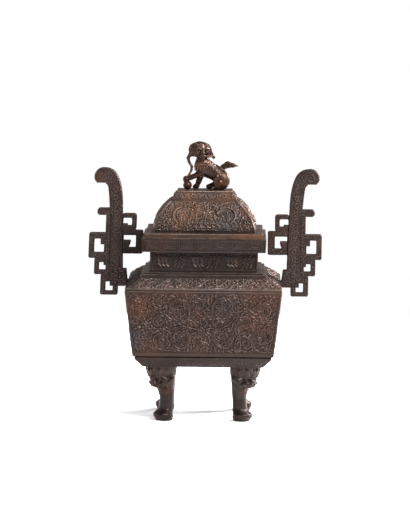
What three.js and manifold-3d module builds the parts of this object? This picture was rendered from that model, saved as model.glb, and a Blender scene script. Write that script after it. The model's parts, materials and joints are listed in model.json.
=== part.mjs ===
// A covered rectangular bronze censer on four lion-mask legs, in millimetres, +Z up.
// It faces -Y, and its long side runs along X.
import * as THREE from "three";
import { mergeVertices } from "three/addons/utils/BufferGeometryUtils.js";
import Module from "manifold-3d";

const wasm = await Module();
wasm.setup();

// Every rectangular section is this much shorter in half depth than in half width.
const DEPTH_STEP = 15;
const WALL = 4;
const FLOOR = 4.5;
const GAP = 0.3;

// Heights of the main divisions.
const BASE_UNDERSIDE = 84.2;
const BASE_EDGE = 96.6;
const BASE_TOP = 100;
const SEAM_TOP = 102.2;
const PANEL_TOP = 198.9;
const GROOVE = 200.9;
const SHOULDER_EDGE = 203.3;
const SHOULDER_TOP = 217.7;
const STEP_TWO_TOP = 221.9;
const NECK_FOOT = 224.7;
const RIM_UNDERSIDE = 255.1;
const RIM_TOP = 274.3;
const LID_UNDERSIDE = RIM_TOP + GAP;
const FLANGE_TOP = 281.8;
const DOME_FOOT = 283;
const DOME_TOP = 326.9;
const TIER_FOOT = 329.9;
const TIER_TOP = 338;
const PLATE_TOP = 341.2;

// Half widths of the sections at those divisions.
const HALF = {
  baseUnderside: 89,
  baseEdge: 100.6,
  baseTop: 101.6,
  seam: 96,
  panelFoot: 104.3,
  panelTop: 115.4,
  groove: 113.8,
  shoulderEdge: 115.2,
  shoulderTop: 92.7,
  stepTwo: 90.6,
  stepOne: 86.3,
  neck: 79.7,
  rimUnderside: 91,
  rim: 91.8,
  flange: 88.1,
  flangeTop: 87,
  domeFoot: 76.1,
  domeTop: 48.9,
  tierFoot: 47.9,
  tierTop: 42.3,
  plate: 40.8,
};

const DOME_BANDS = 5;
const DOME_FULLNESS = 0.85;
const DOME_BORDER = { inset: 3.2, half: 1.6, height: 1, clear: 0.4 };
const LIP = { depth: 6, thickness: 3, clearance: 0.8 };

// Relief: ridges of triangular section that stand on sunk fields.
const RELIEF = { height: 1.7, sink: 0.7, fieldDepth: 0.9 };
const PANEL_BORDER = { side: 3.5, foot: 6.5, top: 2 };
const SHOULDER_BORDER = { foot: 2.6, top: 1.5 };
const NECK_BORDER = { side: 3, foot: 2.5, top: 1.5 };
const RIM_BORDER = { side: 1.5, foot: 1.5, top: 1.5 };
const TIER_RELIEF = { bends: 3, foot: 0.5, top: 0.5, half: 0.9, height: 1 };
const FRET = { line: 1.1, height: 0.8, width: 18, rise: 13.4, pitch: 25.2 };
const STROKE = { half: 0.9, height: 0.9, rise: 17, width: 15, places: 6, pitch: 25.2 };

// Turns vertices and triangles into a solid that faces out, whichever way its triangles were wound.
function closedSolid(vertices, triangles) {
  const a = new THREE.Vector3();
  const volume = triangles.reduce(
    (sum, [i, j, k]) => sum + a.crossVectors(vertices[i], vertices[j]).dot(vertices[k]),
    0,
  );
  const wound = volume < 0 ? triangles.map(([i, j, k]) => [i, k, j]) : triangles;
  return new wasm.Manifold(
    new wasm.Mesh({
      numProp: 3,
      vertProperties: new Float32Array(vertices.flatMap((v) => v.toArray())),
      triVerts: new Uint32Array(wound.flat()),
    }),
  );
}

// Turns a closed three.js geometry into a solid.
function solidOf(geometry) {
  const bare = geometry.index ? geometry.toNonIndexed() : geometry.clone();
  bare.deleteAttribute("normal");
  bare.deleteAttribute("uv");
  const merged = mergeVertices(bare, 1e-4);
  const positions = merged.getAttribute("position");
  const vertices = Array.from({ length: positions.count }, (_, i) =>
    new THREE.Vector3().fromBufferAttribute(positions, i),
  );
  const index = merged.index.array;
  const triangles = [];
  for (let i = 0; i < index.length; i += 3) {
    const [a, b, c] = [index[i], index[i + 1], index[i + 2]];
    if (a !== b && b !== c && c !== a) triangles.push([a, b, c]);
  }
  return closedSolid(vertices, triangles);
}

// Joins solids two by two, so that no join grows needlessly large.
function unite(solids) {
  let left = solids;
  while (left.length > 1) {
    const joined = [];
    for (let i = 0; i < left.length; i += 2) {
      joined.push(i + 1 < left.length ? left[i].add(left[i + 1]) : left[i]);
    }
    left = joined;
  }
  return left[0];
}

function geometryOf(solid) {
  const mesh = solid.getMesh();
  const geometry = new THREE.BufferGeometry();
  geometry.setAttribute("position", new THREE.BufferAttribute(mesh.vertProperties, 3));
  geometry.setIndex(new THREE.BufferAttribute(mesh.triVerts, 1));
  geometry.computeVertexNormals();
  return geometry;
}

// Skins rings of equal length, one after another, and closes both ends.
function skin(rings) {
  const count = rings[0].length;
  const triangles = [];
  for (let r = 0; r + 1 < rings.length; r++) {
    for (let i = 0; i < count; i++) {
      const j = (i + 1) % count;
      const [a, b] = [r * count + i, r * count + j];
      triangles.push([a, b, b + count], [a, b + count, a + count]);
    }
  }
  const last = (rings.length - 1) * count;
  for (let i = 1; i + 1 < count; i++) {
    triangles.push([0, i + 1, i], [last, last + i, last + i + 1]);
  }
  return closedSolid(rings.flat(), triangles);
}

// A stack of rectangular sections, each { half, z }, as one solid.
function stack(levels) {
  return skin(
    levels.map(({ half, z }) => {
      const depth = half - DEPTH_STEP;
      return [
        new THREE.Vector3(-half, -depth, z),
        new THREE.Vector3(half, -depth, z),
        new THREE.Vector3(half, depth, z),
        new THREE.Vector3(-half, depth, z),
      ];
    }),
  );
}

const SIDES = [
  { name: "front", out: new THREE.Vector2(0, -1), inset: DEPTH_STEP, trim: 0 },
  { name: "right", out: new THREE.Vector2(1, 0), inset: 0, trim: DEPTH_STEP },
  { name: "back", out: new THREE.Vector2(0, 1), inset: DEPTH_STEP, trim: 0 },
  { name: "left", out: new THREE.Vector2(-1, 0), inset: 0, trim: DEPTH_STEP },
];

// One side of a stack of sections as a sheet with its own coordinates: u along the side from its middle,
// v up its profile from the lowest level, w out of it.
function sheet(side, levels) {
  const along = new THREE.Vector3(-side.out.y, side.out.x, 0);
  const outward = new THREE.Vector3(side.out.x, side.out.y, 0);
  const upward = new THREE.Vector3(0, 0, 1);
  const spans = [];
  let height = 0;
  for (let i = 0; i + 1 < levels.length; i++) {
    const run = levels[i + 1].half - levels[i].half;
    const rise = levels[i + 1].z - levels[i].z;
    const length = Math.hypot(run, rise);
    spans.push({ from: height, length, run, rise, level: levels[i] });
    height += length;
  }
  const spanAt = (v) => spans.findLast((s) => v >= s.from) ?? spans[0];
  const halfLength = (v) => {
    const s = spanAt(v);
    return s.level.half + (s.run * (v - s.from)) / s.length - side.trim;
  };
  const place = (u, v, w) => {
    const s = spanAt(v);
    const t = (v - s.from) / s.length;
    const distance = s.level.half + s.run * t - side.inset + (w * s.rise) / s.length;
    const z = s.level.z + s.rise * t - (w * s.run) / s.length;
    return along
      .clone()
      .multiplyScalar(u)
      .addScaledVector(outward, distance)
      .addScaledVector(upward, z);
  };
  return { name: side.name, height, halfLength, place };
}

// A ridge of triangular section along a path of { u, v, half } on a sheet. Corners are mitred.
function ridge(path, on, height, sink) {
  const rings = path.map(({ u, v, half }, i) => {
    const before = path[Math.max(i - 1, 0)];
    const after = path[Math.min(i + 1, path.length - 1)];
    const into = new THREE.Vector2(u - before.u, v - before.v).normalize();
    const away = new THREE.Vector2(after.u - u, after.v - v).normalize();
    const middle = into.clone().add(away).normalize();
    const across = new THREE.Vector2(-middle.y, middle.x);
    const ends = i === 0 || i === path.length - 1;
    const stretch = ends ? 1 : 1 / Math.max(0.5, middle.dot(away));
    const reach = half * stretch;
    return [
      on.place(u - across.x * reach, v - across.y * reach, -sink),
      on.place(u + across.x * reach, v + across.y * reach, -sink),
      on.place(u, v, height),
    ];
  });
  return skin(rings);
}

// The sunk field of a sheet, inside its plain border.
function field(on, border, depth) {
  const proud = 3;
  const ring = (v) => {
    const half = on.halfLength(v) - border.side;
    return [
      on.place(-half, v, -depth),
      on.place(half, v, -depth),
      on.place(half, v, proud),
      on.place(-half, v, proud),
    ];
  };
  return skin([ring(border.foot), ring(on.height - border.top)]);
}

// A scroll: a spiral that winds in from its rim and thins toward its eye.
function scroll({ u, v, radius, start, hand, steps, turns = 0.95, half = 2.1 }) {
  const eye = 0.3;
  return Array.from({ length: steps + 1 }, (_, i) => {
    const t = i / steps;
    const angle = start + hand * turns * 2 * Math.PI * t;
    const reach = radius * (1 - (1 - eye) * t);
    return {
      u: u + reach * Math.cos(angle),
      v: v + reach * Math.sin(angle),
      half: half * (1.1 - 0.4 * t),
    };
  });
}

// A leaf: a low pointed pyramid on the sheet, broadest a little before its middle.
function leaf({ u, v, angle, length, bend = 0, half = 1.9 }) {
  const at = (share, side) => {
    const turn = angle + bend * share;
    return {
      u: u + length * share * Math.cos(turn) - side * Math.sin(turn),
      v: v + length * share * Math.sin(turn) + side * Math.cos(turn),
    };
  };
  return { outline: [at(0, 0), at(0.45, -half), at(1, 0), at(0.45, half)], crest: at(0.45, 0) };
}

// The solid of one motif on a sheet: a leaf, or a ridge along a path.
function motif(shape, on, height, sink) {
  if (!shape.outline) return ridge(shape, on, height, sink);
  const vertices = [
    ...shape.outline.map(({ u, v }) => on.place(u, v, -sink)),
    on.place(shape.crest.u, shape.crest.v, height),
  ];
  return closedSolid(vertices, [
    [0, 1, 4],
    [1, 2, 4],
    [2, 3, 4],
    [3, 0, 4],
    [0, 2, 1],
    [0, 3, 2],
  ]);
}

// A scroll with a leaf that springs from its outer rim.
function leafyScroll(spiral) {
  const { u, v, radius, start, hand } = spiral;
  const angle = start + hand * 0.5;
  const reach = radius * 1.08;
  const sprig = leaf({
    u: u + reach * Math.cos(angle),
    v: v + reach * Math.sin(angle),
    angle: angle + hand * 0.5,
    length: radius * 0.9,
    bend: hand * 0.8,
    half: radius * 0.2,
  });
  return [scroll(spiral), sprig];
}

// A lotus seen from the side: petals that fan up from a cup, and a few that hang below it.
function lotus({ u, v, radius }) {
  const upper = { count: 5, spread: 2.3, length: radius, start: 0.25 };
  const lower = { count: 3, spread: 1.8, length: radius * 0.75, start: 0.25 };
  return [
    [upper, Math.PI / 2],
    [lower, -Math.PI / 2],
  ].flatMap(([fan, middle]) =>
    Array.from({ length: fan.count }, (_, i) => {
      const angle = middle + fan.spread * (i / (fan.count - 1) - 0.5);
      return leaf({
        u: u + fan.start * radius * Math.cos(angle),
        v: v + fan.start * radius * Math.sin(angle),
        angle,
        length: fan.length * (1 - fan.start),
        half: radius * 0.15,
      });
    }),
  );
}

// Lays paths out as they are and mirrored across the middle of the face.
const flip = (point) => ({ ...point, u: -point.u });
const flipped = (shape) =>
  shape.outline ? { outline: shape.outline.map(flip), crest: flip(shape.crest) } : shape.map(flip);
const mirrored = (shapes) => [...shapes, ...shapes.map(flipped)];

// The lotus scrollwork of a main panel, in shares of the sheet's half length and height. The front has
// more and rounder scrolls than the three other sides.
const PANEL_SCROLLS = [
  { u: 0.33, v: 0.72, radius: 0.21, start: 3.6, hand: -1, turns: 1.15 },
  { u: 0.33, v: 0.27, radius: 0.19, start: 2.6, hand: 1, turns: 1.15 },
  { u: 0.84, v: 0.74, radius: 0.16, start: 4.2, hand: 1 },
  { u: 0.82, v: 0.28, radius: 0.17, start: 1.6, hand: -1 },
  { u: 0.59, v: 0.5, radius: 0.15, start: 2.2, hand: -1 },
];

function panelRelief(on) {
  const length = on.halfLength(on.height / 2) - PANEL_BORDER.side;
  const height = on.height;
  const [shown, steps] = on.name === "front" ? [PANEL_SCROLLS, 6] : [PANEL_SCROLLS.slice(0, 3), 5];
  const paths = shown.flatMap((s) =>
    leafyScroll({ ...s, u: s.u * length, v: s.v * height, radius: s.radius * height, steps }),
  );
  return [...mirrored(paths), ...lotus({ u: 0, v: 0.46 * height, radius: 0.36 * height })];
}

// A running scroll for a narrow band: a wave of stem with a leaf in each bend.
function bandRelief(on, { bends, foot, top, half = 1.6 }) {
  const height = on.height - foot - top;
  const middle = foot + height / 2;
  const length = on.halfLength(middle) - height * 0.3;
  const pitch = (2 * length) / bends;
  const swing = height * 0.38;
  const stem = Array.from({ length: 2 * bends + 1 }, (_, i) => ({
    u: -length + (i * pitch) / 2,
    v: middle + swing * Math.sin((i * Math.PI) / 2),
    half,
  }));
  const leaves = Array.from({ length: bends }, (_, i) => {
    const hand = i % 2 ? -1 : 1;
    return leaf({
      u: -length + pitch * (i + 0.22),
      v: middle - hand * swing * 0.35,
      angle: hand * 0.25,
      length: pitch * 0.56,
      half: half * 1.5,
    });
  });
  return [stem, ...leaves];
}

// The dome's relief: two rosettes, a sprig between them and scrolls in the lower corners.
function domeRelief(on) {
  const { height } = on;
  const foot = on.halfLength(0);
  const scrolls = [
    { u: 0.4, v: 0.45, radius: 0.22, start: 2.8, hand: -1, turns: 1.2 },
    { u: 0.77, v: 0.28, radius: 0.13, start: 2.2, hand: 1 },
  ];
  const [shown, steps] = on.name === "front" ? [scrolls, 6] : [scrolls.slice(0, 1), 5];
  const paths = shown.flatMap((s) =>
    leafyScroll({ ...s, u: s.u * foot, v: s.v * height, radius: s.radius * height, steps }),
  );
  return [...mirrored(paths), ...lotus({ u: 0, v: 0.4 * height, radius: 0.28 * height })];
}

// A squared hook, the unit of the fret.
function fretUnit(u, v, hand) {
  const { width, rise, line } = FRET;
  const pace = 2.6 * line;
  const corners = [
    [0, 0],
    [0, rise],
    [width, rise],
    [width, pace],
    [pace, pace],
  ];
  return corners.map(([x, y]) => ({
    u: u + hand * (x - width / 2),
    v: v + y - rise / 2,
    half: line,
  }));
}

function fretRelief(on) {
  const usable = on.halfLength(0) - FRET.line * 2;
  const count = Math.floor((2 * usable) / FRET.pitch);
  return Array.from({ length: count }, (_, i) =>
    fretUnit((i - (count - 1) / 2) * FRET.pitch, on.height / 2, i % 2 ? 1 : -1),
  );
}

// Rows of short strokes stand where the neck has its six characters. They spell nothing.
function strokeRelief(on) {
  const { half, rise, width } = STROKE;
  return Array.from({ length: STROKE.places }, (_, place) => {
    const middle = (place - (STROKE.places - 1) / 2) * STROKE.pitch;
    const lean = place % 2 ? 1 : -1;
    const bar = (from, to, row) =>
      [from, to].map((share) => ({
        u: middle + lean * share * width,
        v: on.height / 2 + row * rise,
        half,
      }));
    return [bar(-0.5, 0.5, -0.5), bar(-0.5, 0.1, 0), bar(-0.3, 0.5, 0.5)];
  }).flat();
}

// Cuts a field into each side of a solid, when it has a border, and stands the relief on it.
function decorate(solid, levels, { border, depth = 0, relief, height = RELIEF.height, sides = SIDES }) {
  const sheets = sides.map((side) => sheet(side, levels));
  const cut = border ? solid.subtract(unite(sheets.map((on) => field(on, border, depth)))) : solid;
  if (!relief) return cut;
  const crest = height - depth;
  const sink = RELIEF.sink + depth;
  return cut.add(
    unite(sheets.flatMap((on) => relief(on).map((shape) => motif(shape, on, crest, sink)))),
  );
}

const inward = (levels, wall) => levels.map(({ half, z }) => ({ half: half - wall, z }));

function makeBody() {
  const panel = [
    { half: HALF.panelFoot, z: SEAM_TOP },
    { half: HALF.panelTop, z: PANEL_TOP },
  ];
  const shoulder = [
    { half: HALF.shoulderEdge, z: SHOULDER_EDGE },
    { half: HALF.shoulderTop, z: SHOULDER_TOP },
  ];
  const neck = [
    { half: HALF.neck, z: NECK_FOOT },
    { half: HALF.neck, z: RIM_UNDERSIDE },
  ];
  const rim = [
    { half: HALF.rimUnderside, z: RIM_UNDERSIDE },
    { half: HALF.rim, z: RIM_TOP },
  ];
  const outside = stack([
    ...panel,
    { half: HALF.groove, z: GROOVE },
    ...shoulder,
    { half: HALF.stepTwo, z: SHOULDER_TOP },
    { half: HALF.stepTwo, z: STEP_TWO_TOP },
    { half: HALF.stepOne, z: STEP_TWO_TOP },
    { half: HALF.stepOne, z: NECK_FOOT },
    ...neck,
    ...rim,
  ]);
  const mouth = HALF.neck - WALL;
  const inside = stack([
    { half: HALF.panelFoot - WALL, z: SEAM_TOP + FLOOR },
    { half: HALF.groove - WALL, z: PANEL_TOP },
    { half: HALF.shoulderTop - WALL, z: SHOULDER_TOP - WALL },
    { half: mouth, z: NECK_FOOT - WALL },
    { half: mouth, z: RIM_TOP + 1 },
  ]);
  const shell = outside.subtract(inside);
  const carved = decorate(shell, panel, {
    border: PANEL_BORDER,
    depth: RELIEF.fieldDepth,
    relief: panelRelief,
  });
  const shouldered = decorate(carved, shoulder, {
    relief: (on) => bandRelief(on, { bends: on.name === "front" ? 6 : 4, ...SHOULDER_BORDER }),
  });
  const necked = decorate(shouldered, neck, { border: NECK_BORDER, depth: RELIEF.fieldDepth });
  const written = decorate(necked, inward(neck, RELIEF.fieldDepth), {
    relief: strokeRelief,
    height: STROKE.height,
    sides: SIDES.slice(0, 1),
  });
  return decorate(written, rim, {
    border: RIM_BORDER,
    depth: FRET.height,
    relief: fretRelief,
    height: FRET.height,
  });
}

// Sections of a leg from the top down, about the upright through its sole: reach is the half size of the
// round section, and shift moves it along the diagonal, outward when positive.
const LEG_CENTRE = { x: 59, y: 47 };
const LEG_SECTIONS = [
  { z: BASE_UNDERSIDE + 3, reach: 22.6, shift: 5 },
  { z: 73, reach: 21.6, shift: 3.8 },
  { z: 65, reach: 18.3, shift: 0 },
  { z: 53, reach: 15.7, shift: -1.3 },
  { z: 45, reach: 12.7, shift: -5.5 },
  { z: 34, reach: 10.6, shift: -7 },
  { z: 17, reach: 11, shift: -5.2 },
  { z: 10.5, reach: 14.8, shift: 0.4 },
  { z: 5, reach: 14.2, shift: -0.7 },
  { z: 0, reach: 12.4, shift: -1.8 },
];
const LEG_SIDES = 8;

// An ellipsoid of few facets.
function blob({ at, size, turn = 0, across = 6, up = 4 }) {
  const geometry = new THREE.SphereGeometry(1, across, up);
  geometry.rotateX(Math.PI / 2);
  geometry.scale(...size);
  geometry.rotateZ(turn);
  geometry.translate(...at);
  return solidOf(geometry);
}

// A limb: rings around a path, closed at both ends. Each ring lies square to the path, and its width is
// measured along the axis that the path strays from least.
function limb(path, sides = 6) {
  const points = path.map(({ at }) => new THREE.Vector3(...at));
  const extent = new THREE.Box3().setFromPoints(points).getSize(new THREE.Vector3()).toArray();
  const axis = new THREE.Vector3().setComponent(extent.indexOf(Math.min(...extent)), 1);
  const rings = points.map((point, i) => {
    const before = points[Math.max(i - 1, 0)];
    const after = points[Math.min(i + 1, points.length - 1)];
    const tangent = after.clone().sub(before).normalize();
    const first = new THREE.Vector3().crossVectors(tangent, axis).normalize();
    const second = new THREE.Vector3().crossVectors(tangent, first);
    const { radius, wide = radius } = path[i];
    return Array.from({ length: sides }, (_, k) => {
      const angle = (2 * Math.PI * k) / sides;
      return point
        .clone()
        .addScaledVector(first, radius * Math.cos(angle))
        .addScaledVector(second, wide * Math.sin(angle));
    });
  });
  return skin(rings);
}

// A leg in its own frame: +X is the outward diagonal, and the sole's centre is the origin.
function legSolid() {
  const shaft = skin(
    LEG_SECTIONS.map(({ z, reach, shift }) =>
      Array.from({ length: LEG_SIDES }, (_, i) => {
        const angle = (2 * Math.PI * (i + 0.5)) / LEG_SIDES;
        const corner = reach / Math.cos(Math.PI / LEG_SIDES);
        return new THREE.Vector3(shift + corner * Math.cos(angle), corner * Math.sin(angle), z);
      }),
    ),
  );
  const brow = [-12, 0, 12].map((y) => ({
    at: [23.5 - Math.abs(y) / 4, y, 66.5 + Math.abs(y) / 5],
    radius: 3.2,
  }));
  const lip = [-12, -7, 0, 7, 12].map((y) => ({
    at: [17.5 - (y * y) / 12, y, 53.5 + Math.abs(y) / 6],
    radius: 3.2,
  }));
  const mask = [
    blob({ at: [19, 0, 60], size: [6.5, 5.5, 5.5], across: 5, up: 4 }),
    ...[-1, 1].map((hand) => blob({ at: [16.5, hand * 9.5, 61.5], size: [3.8, 3.6, 3.2], across: 5, up: 3 })),
    limb(brow, 4),
    limb(lip, 4),
  ];
  const locks = [-0.8, 0, 0.8].map((side) =>
    limb(
      [
        { at: [25 - 6 * side * side, 13 * side, 72], radius: 2.8 },
        { at: [27 - 9 * side * side, 18 * side, 82], radius: 2 },
      ],
      4,
    ),
  );
  return unite([shaft, ...mask, ...locks]);
}

function makeBase() {
  const outside = stack([
    { half: HALF.baseUnderside, z: BASE_UNDERSIDE },
    { half: HALF.baseEdge, z: BASE_EDGE },
    { half: HALF.baseTop, z: BASE_TOP },
    { half: HALF.seam, z: BASE_TOP },
    { half: HALF.seam, z: SEAM_TOP - GAP },
  ]);
  const tray = outside.subtract(
    stack([
      { half: HALF.baseUnderside - WALL, z: BASE_UNDERSIDE + FLOOR },
      { half: HALF.seam - WALL, z: BASE_TOP },
      { half: HALF.seam - WALL, z: SEAM_TOP },
    ]),
  );
  const leg = geometryOf(legSolid());
  const legTop = BASE_UNDERSIDE + FLOOR / 2;
  const below = new THREE.BoxGeometry(4 * LEG_CENTRE.x, 4 * LEG_CENTRE.y, legTop);
  below.translate(0, 0, legTop / 2);
  const legs = [1, 3, 5, 7].map((eighth) => {
    const turn = (eighth * Math.PI) / 4;
    const placed = leg.clone();
    placed.rotateZ(turn);
    placed.translate(
      Math.sign(Math.cos(turn)) * LEG_CENTRE.x,
      Math.sign(Math.sin(turn)) * LEG_CENTRE.y,
      0,
    );
    return solidOf(placed);
  });
  return unite([tray, unite(legs).intersect(solidOf(below))]);
}

const domeLevels = Array.from({ length: DOME_BANDS + 1 }, (_, i) => {
  const t = 1 - i / DOME_BANDS;
  const swell = Math.sin((Math.PI / 2) * t) ** DOME_FULLNESS;
  return {
    half: HALF.domeTop + (HALF.domeFoot - HALF.domeTop) * swell,
    z: DOME_TOP + (DOME_FOOT - DOME_TOP) * t,
  };
});

function makeLid() {
  const tier = [
    { half: HALF.tierFoot, z: TIER_FOOT },
    { half: HALF.tierTop, z: TIER_TOP },
  ];
  const mouth = HALF.neck - WALL;
  const lip = mouth - LIP.clearance;
  const outside = stack([
    { half: lip, z: LID_UNDERSIDE - LIP.depth },
    { half: lip, z: LID_UNDERSIDE },
    { half: HALF.flange, z: LID_UNDERSIDE },
    { half: HALF.flangeTop, z: FLANGE_TOP },
    ...domeLevels,
    ...tier,
    { half: HALF.plate, z: PLATE_TOP },
  ]);
  const hollow = stack([
    { half: lip - LIP.thickness, z: LID_UNDERSIDE - LIP.depth - 1 },
    { half: lip - LIP.thickness, z: LID_UNDERSIDE },
    ...inward(domeLevels.slice(0, -1), WALL + 1),
    { half: HALF.domeTop - WALL - 1, z: DOME_TOP - 1 },
    { half: HALF.plate - WALL - 1, z: PLATE_TOP - WALL },
  ]);
  const shell = outside.subtract(hollow);
  const domed = decorate(shell, domeLevels, { relief: domeRelief });
  const ribbed = domed.add(unite(SIDES.flatMap((side) => domeBorders(sheet(side, domeLevels)))));
  return decorate(ribbed, tier, {
    relief: (on) => bandRelief(on, TIER_RELIEF),
    height: TIER_RELIEF.height,
  });
}

// The plain border that follows the mitred edges of the dome.
function domeBorders(on) {
  const { inset, half, height, clear } = DOME_BORDER;
  return [-1, 1].map((hand) => {
    const path = Array.from({ length: DOME_BANDS + 1 }, (_, i) => {
      const v = clear + ((on.height - 2 * clear) * i) / DOME_BANDS;
      return { u: hand * (on.halfLength(v) - inset), v, half };
    });
    return ridge(path, on, height, RELIEF.sink);
  });
}

// Handles: X runs outward from the middle of the censer, Z up.
const HANDLE = { postDepth: 17, plateDepth: 13, footUnderside: 201.9, curveSteps: 5 };

// The square-cornered rings of the scrollwork, each part as [x from, x to, z from, z to]. Some holes have
// a block left standing in one corner.
const RINGS = [
  { outer: [105.1, 127, 279, 304.8], hole: [112, 125.2, 286.5, 298.1], block: [118, 127, 286, 289.1] },
  { outer: [94.5, 126, 244.3, 279.7], hole: [105.2, 123.6, 253.5, 272] },
  { outer: [146, 175.4, 237.2, 275.5], hole: [152.5, 167.4, 245.5, 266.3], block: [151, 157.9, 257.8, 267] },
  { outer: [144, 166.2, 212.6, 238], hole: [149.1, 159.1, 219.1, 230.9], block: [148, 152.3, 226.5, 232] },
  { outer: [129.5, 155.9, 181.8, 213], hole: [137.2, 148.3, 187.5, 201.7], block: [136, 141.9, 195.3, 203] },
];
const STRIP = [142, 151, 202, 311];
const TONGUE = [
  [112.9, 264.4],
  [112.9, 260.5],
  [116, 252],
  [125, 252],
  [125, 264.4],
];
const ROOT = [
  [117.8, 221.7],
  [115.6, 205.2],
  [108, 205.2],
  [108, HANDLE.footUnderside],
  [131, HANDLE.footUnderside],
  [131, 221.7],
];

// An upright slab with the given outline in X and Z, centred on Y 0.
function slab(points, depth) {
  const shape = new THREE.Shape(points.map(([x, z]) => new THREE.Vector2(x, z)));
  const geometry = new THREE.ExtrudeGeometry(shape, { depth, bevelEnabled: false });
  geometry.rotateX(Math.PI / 2);
  geometry.translate(0, depth / 2, 0);
  return solidOf(geometry);
}

function box([left, right, low, high], depth) {
  return slab([[left, low], [right, low], [right, high], [left, high]], depth);
}

function outlineOf(shape) {
  return shape.getPoints(HANDLE.curveSteps).map((point) => point.toArray());
}

// The upright post with its hooked top, drawn as one outline.
function postOutline() {
  const shape = new THREE.Shape();
  shape.moveTo(122.6, 202);
  shape.lineTo(124.8, 267);
  shape.lineTo(126.9, 320);
  shape.quadraticCurveTo(128.2, 345, 134.6, 359);
  shape.quadraticCurveTo(141, 372.6, 155, 373.1);
  shape.absarc(157.5, 359.8, 13.4, Math.PI / 2, -0.45, true);
  shape.lineTo(166.8, 350.4);
  shape.lineTo(154.5, 350.3);
  shape.quadraticCurveTo(150, 348, 149, 340);
  shape.quadraticCurveTo(147, 325, 146.2, 312);
  shape.lineTo(143.4, 305);
  shape.lineTo(143.4, 202);
  shape.closePath();
  return outlineOf(shape);
}

// The round-ended spur beside the post.
function spurOutline() {
  const shape = new THREE.Shape();
  shape.moveTo(145, 302);
  shape.lineTo(159, 302);
  shape.absarc(159, 307.4, 5.4, -Math.PI / 2, Math.PI / 2);
  shape.lineTo(145, 312.8);
  return outlineOf(shape);
}

function ringPlate({ outer, hole, block }) {
  const depth = HANDLE.plateDepth;
  const opened = box(outer, depth).subtract(box(hole, 2 * depth));
  return block ? opened.add(box(block, depth)) : opened;
}

// lean slants the handle toward the dome above its foot, in degrees.
function handleSolid(lean) {
  const { postDepth, plateDepth, footUnderside } = HANDLE;
  const pieces = [
    slab(postOutline(), postDepth),
    slab(ROOT, postDepth),
    box(STRIP, plateDepth),
    slab(spurOutline(), plateDepth),
    ...RINGS.map(ringPlate),
    slab(TONGUE, plateDepth),
  ];
  const seat = stack([
    { half: HALF.panelTop + GAP, z: PANEL_TOP },
    { half: HALF.shoulderEdge + GAP, z: SHOULDER_EDGE },
    { half: HALF.shoulderTop + GAP, z: SHOULDER_TOP + GAP },
  ]);
  const upright = geometryOf(unite(pieces));
  const slant = Math.tan(THREE.MathUtils.degToRad(lean));
  upright.translate(0, 0, -footUnderside);
  upright.applyMatrix4(new THREE.Matrix4().makeShear(0, 0, 0, 0, -slant, 0));
  upright.translate(0, 0, footUnderside);
  return solidOf(upright).subtract(seat);
}

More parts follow.
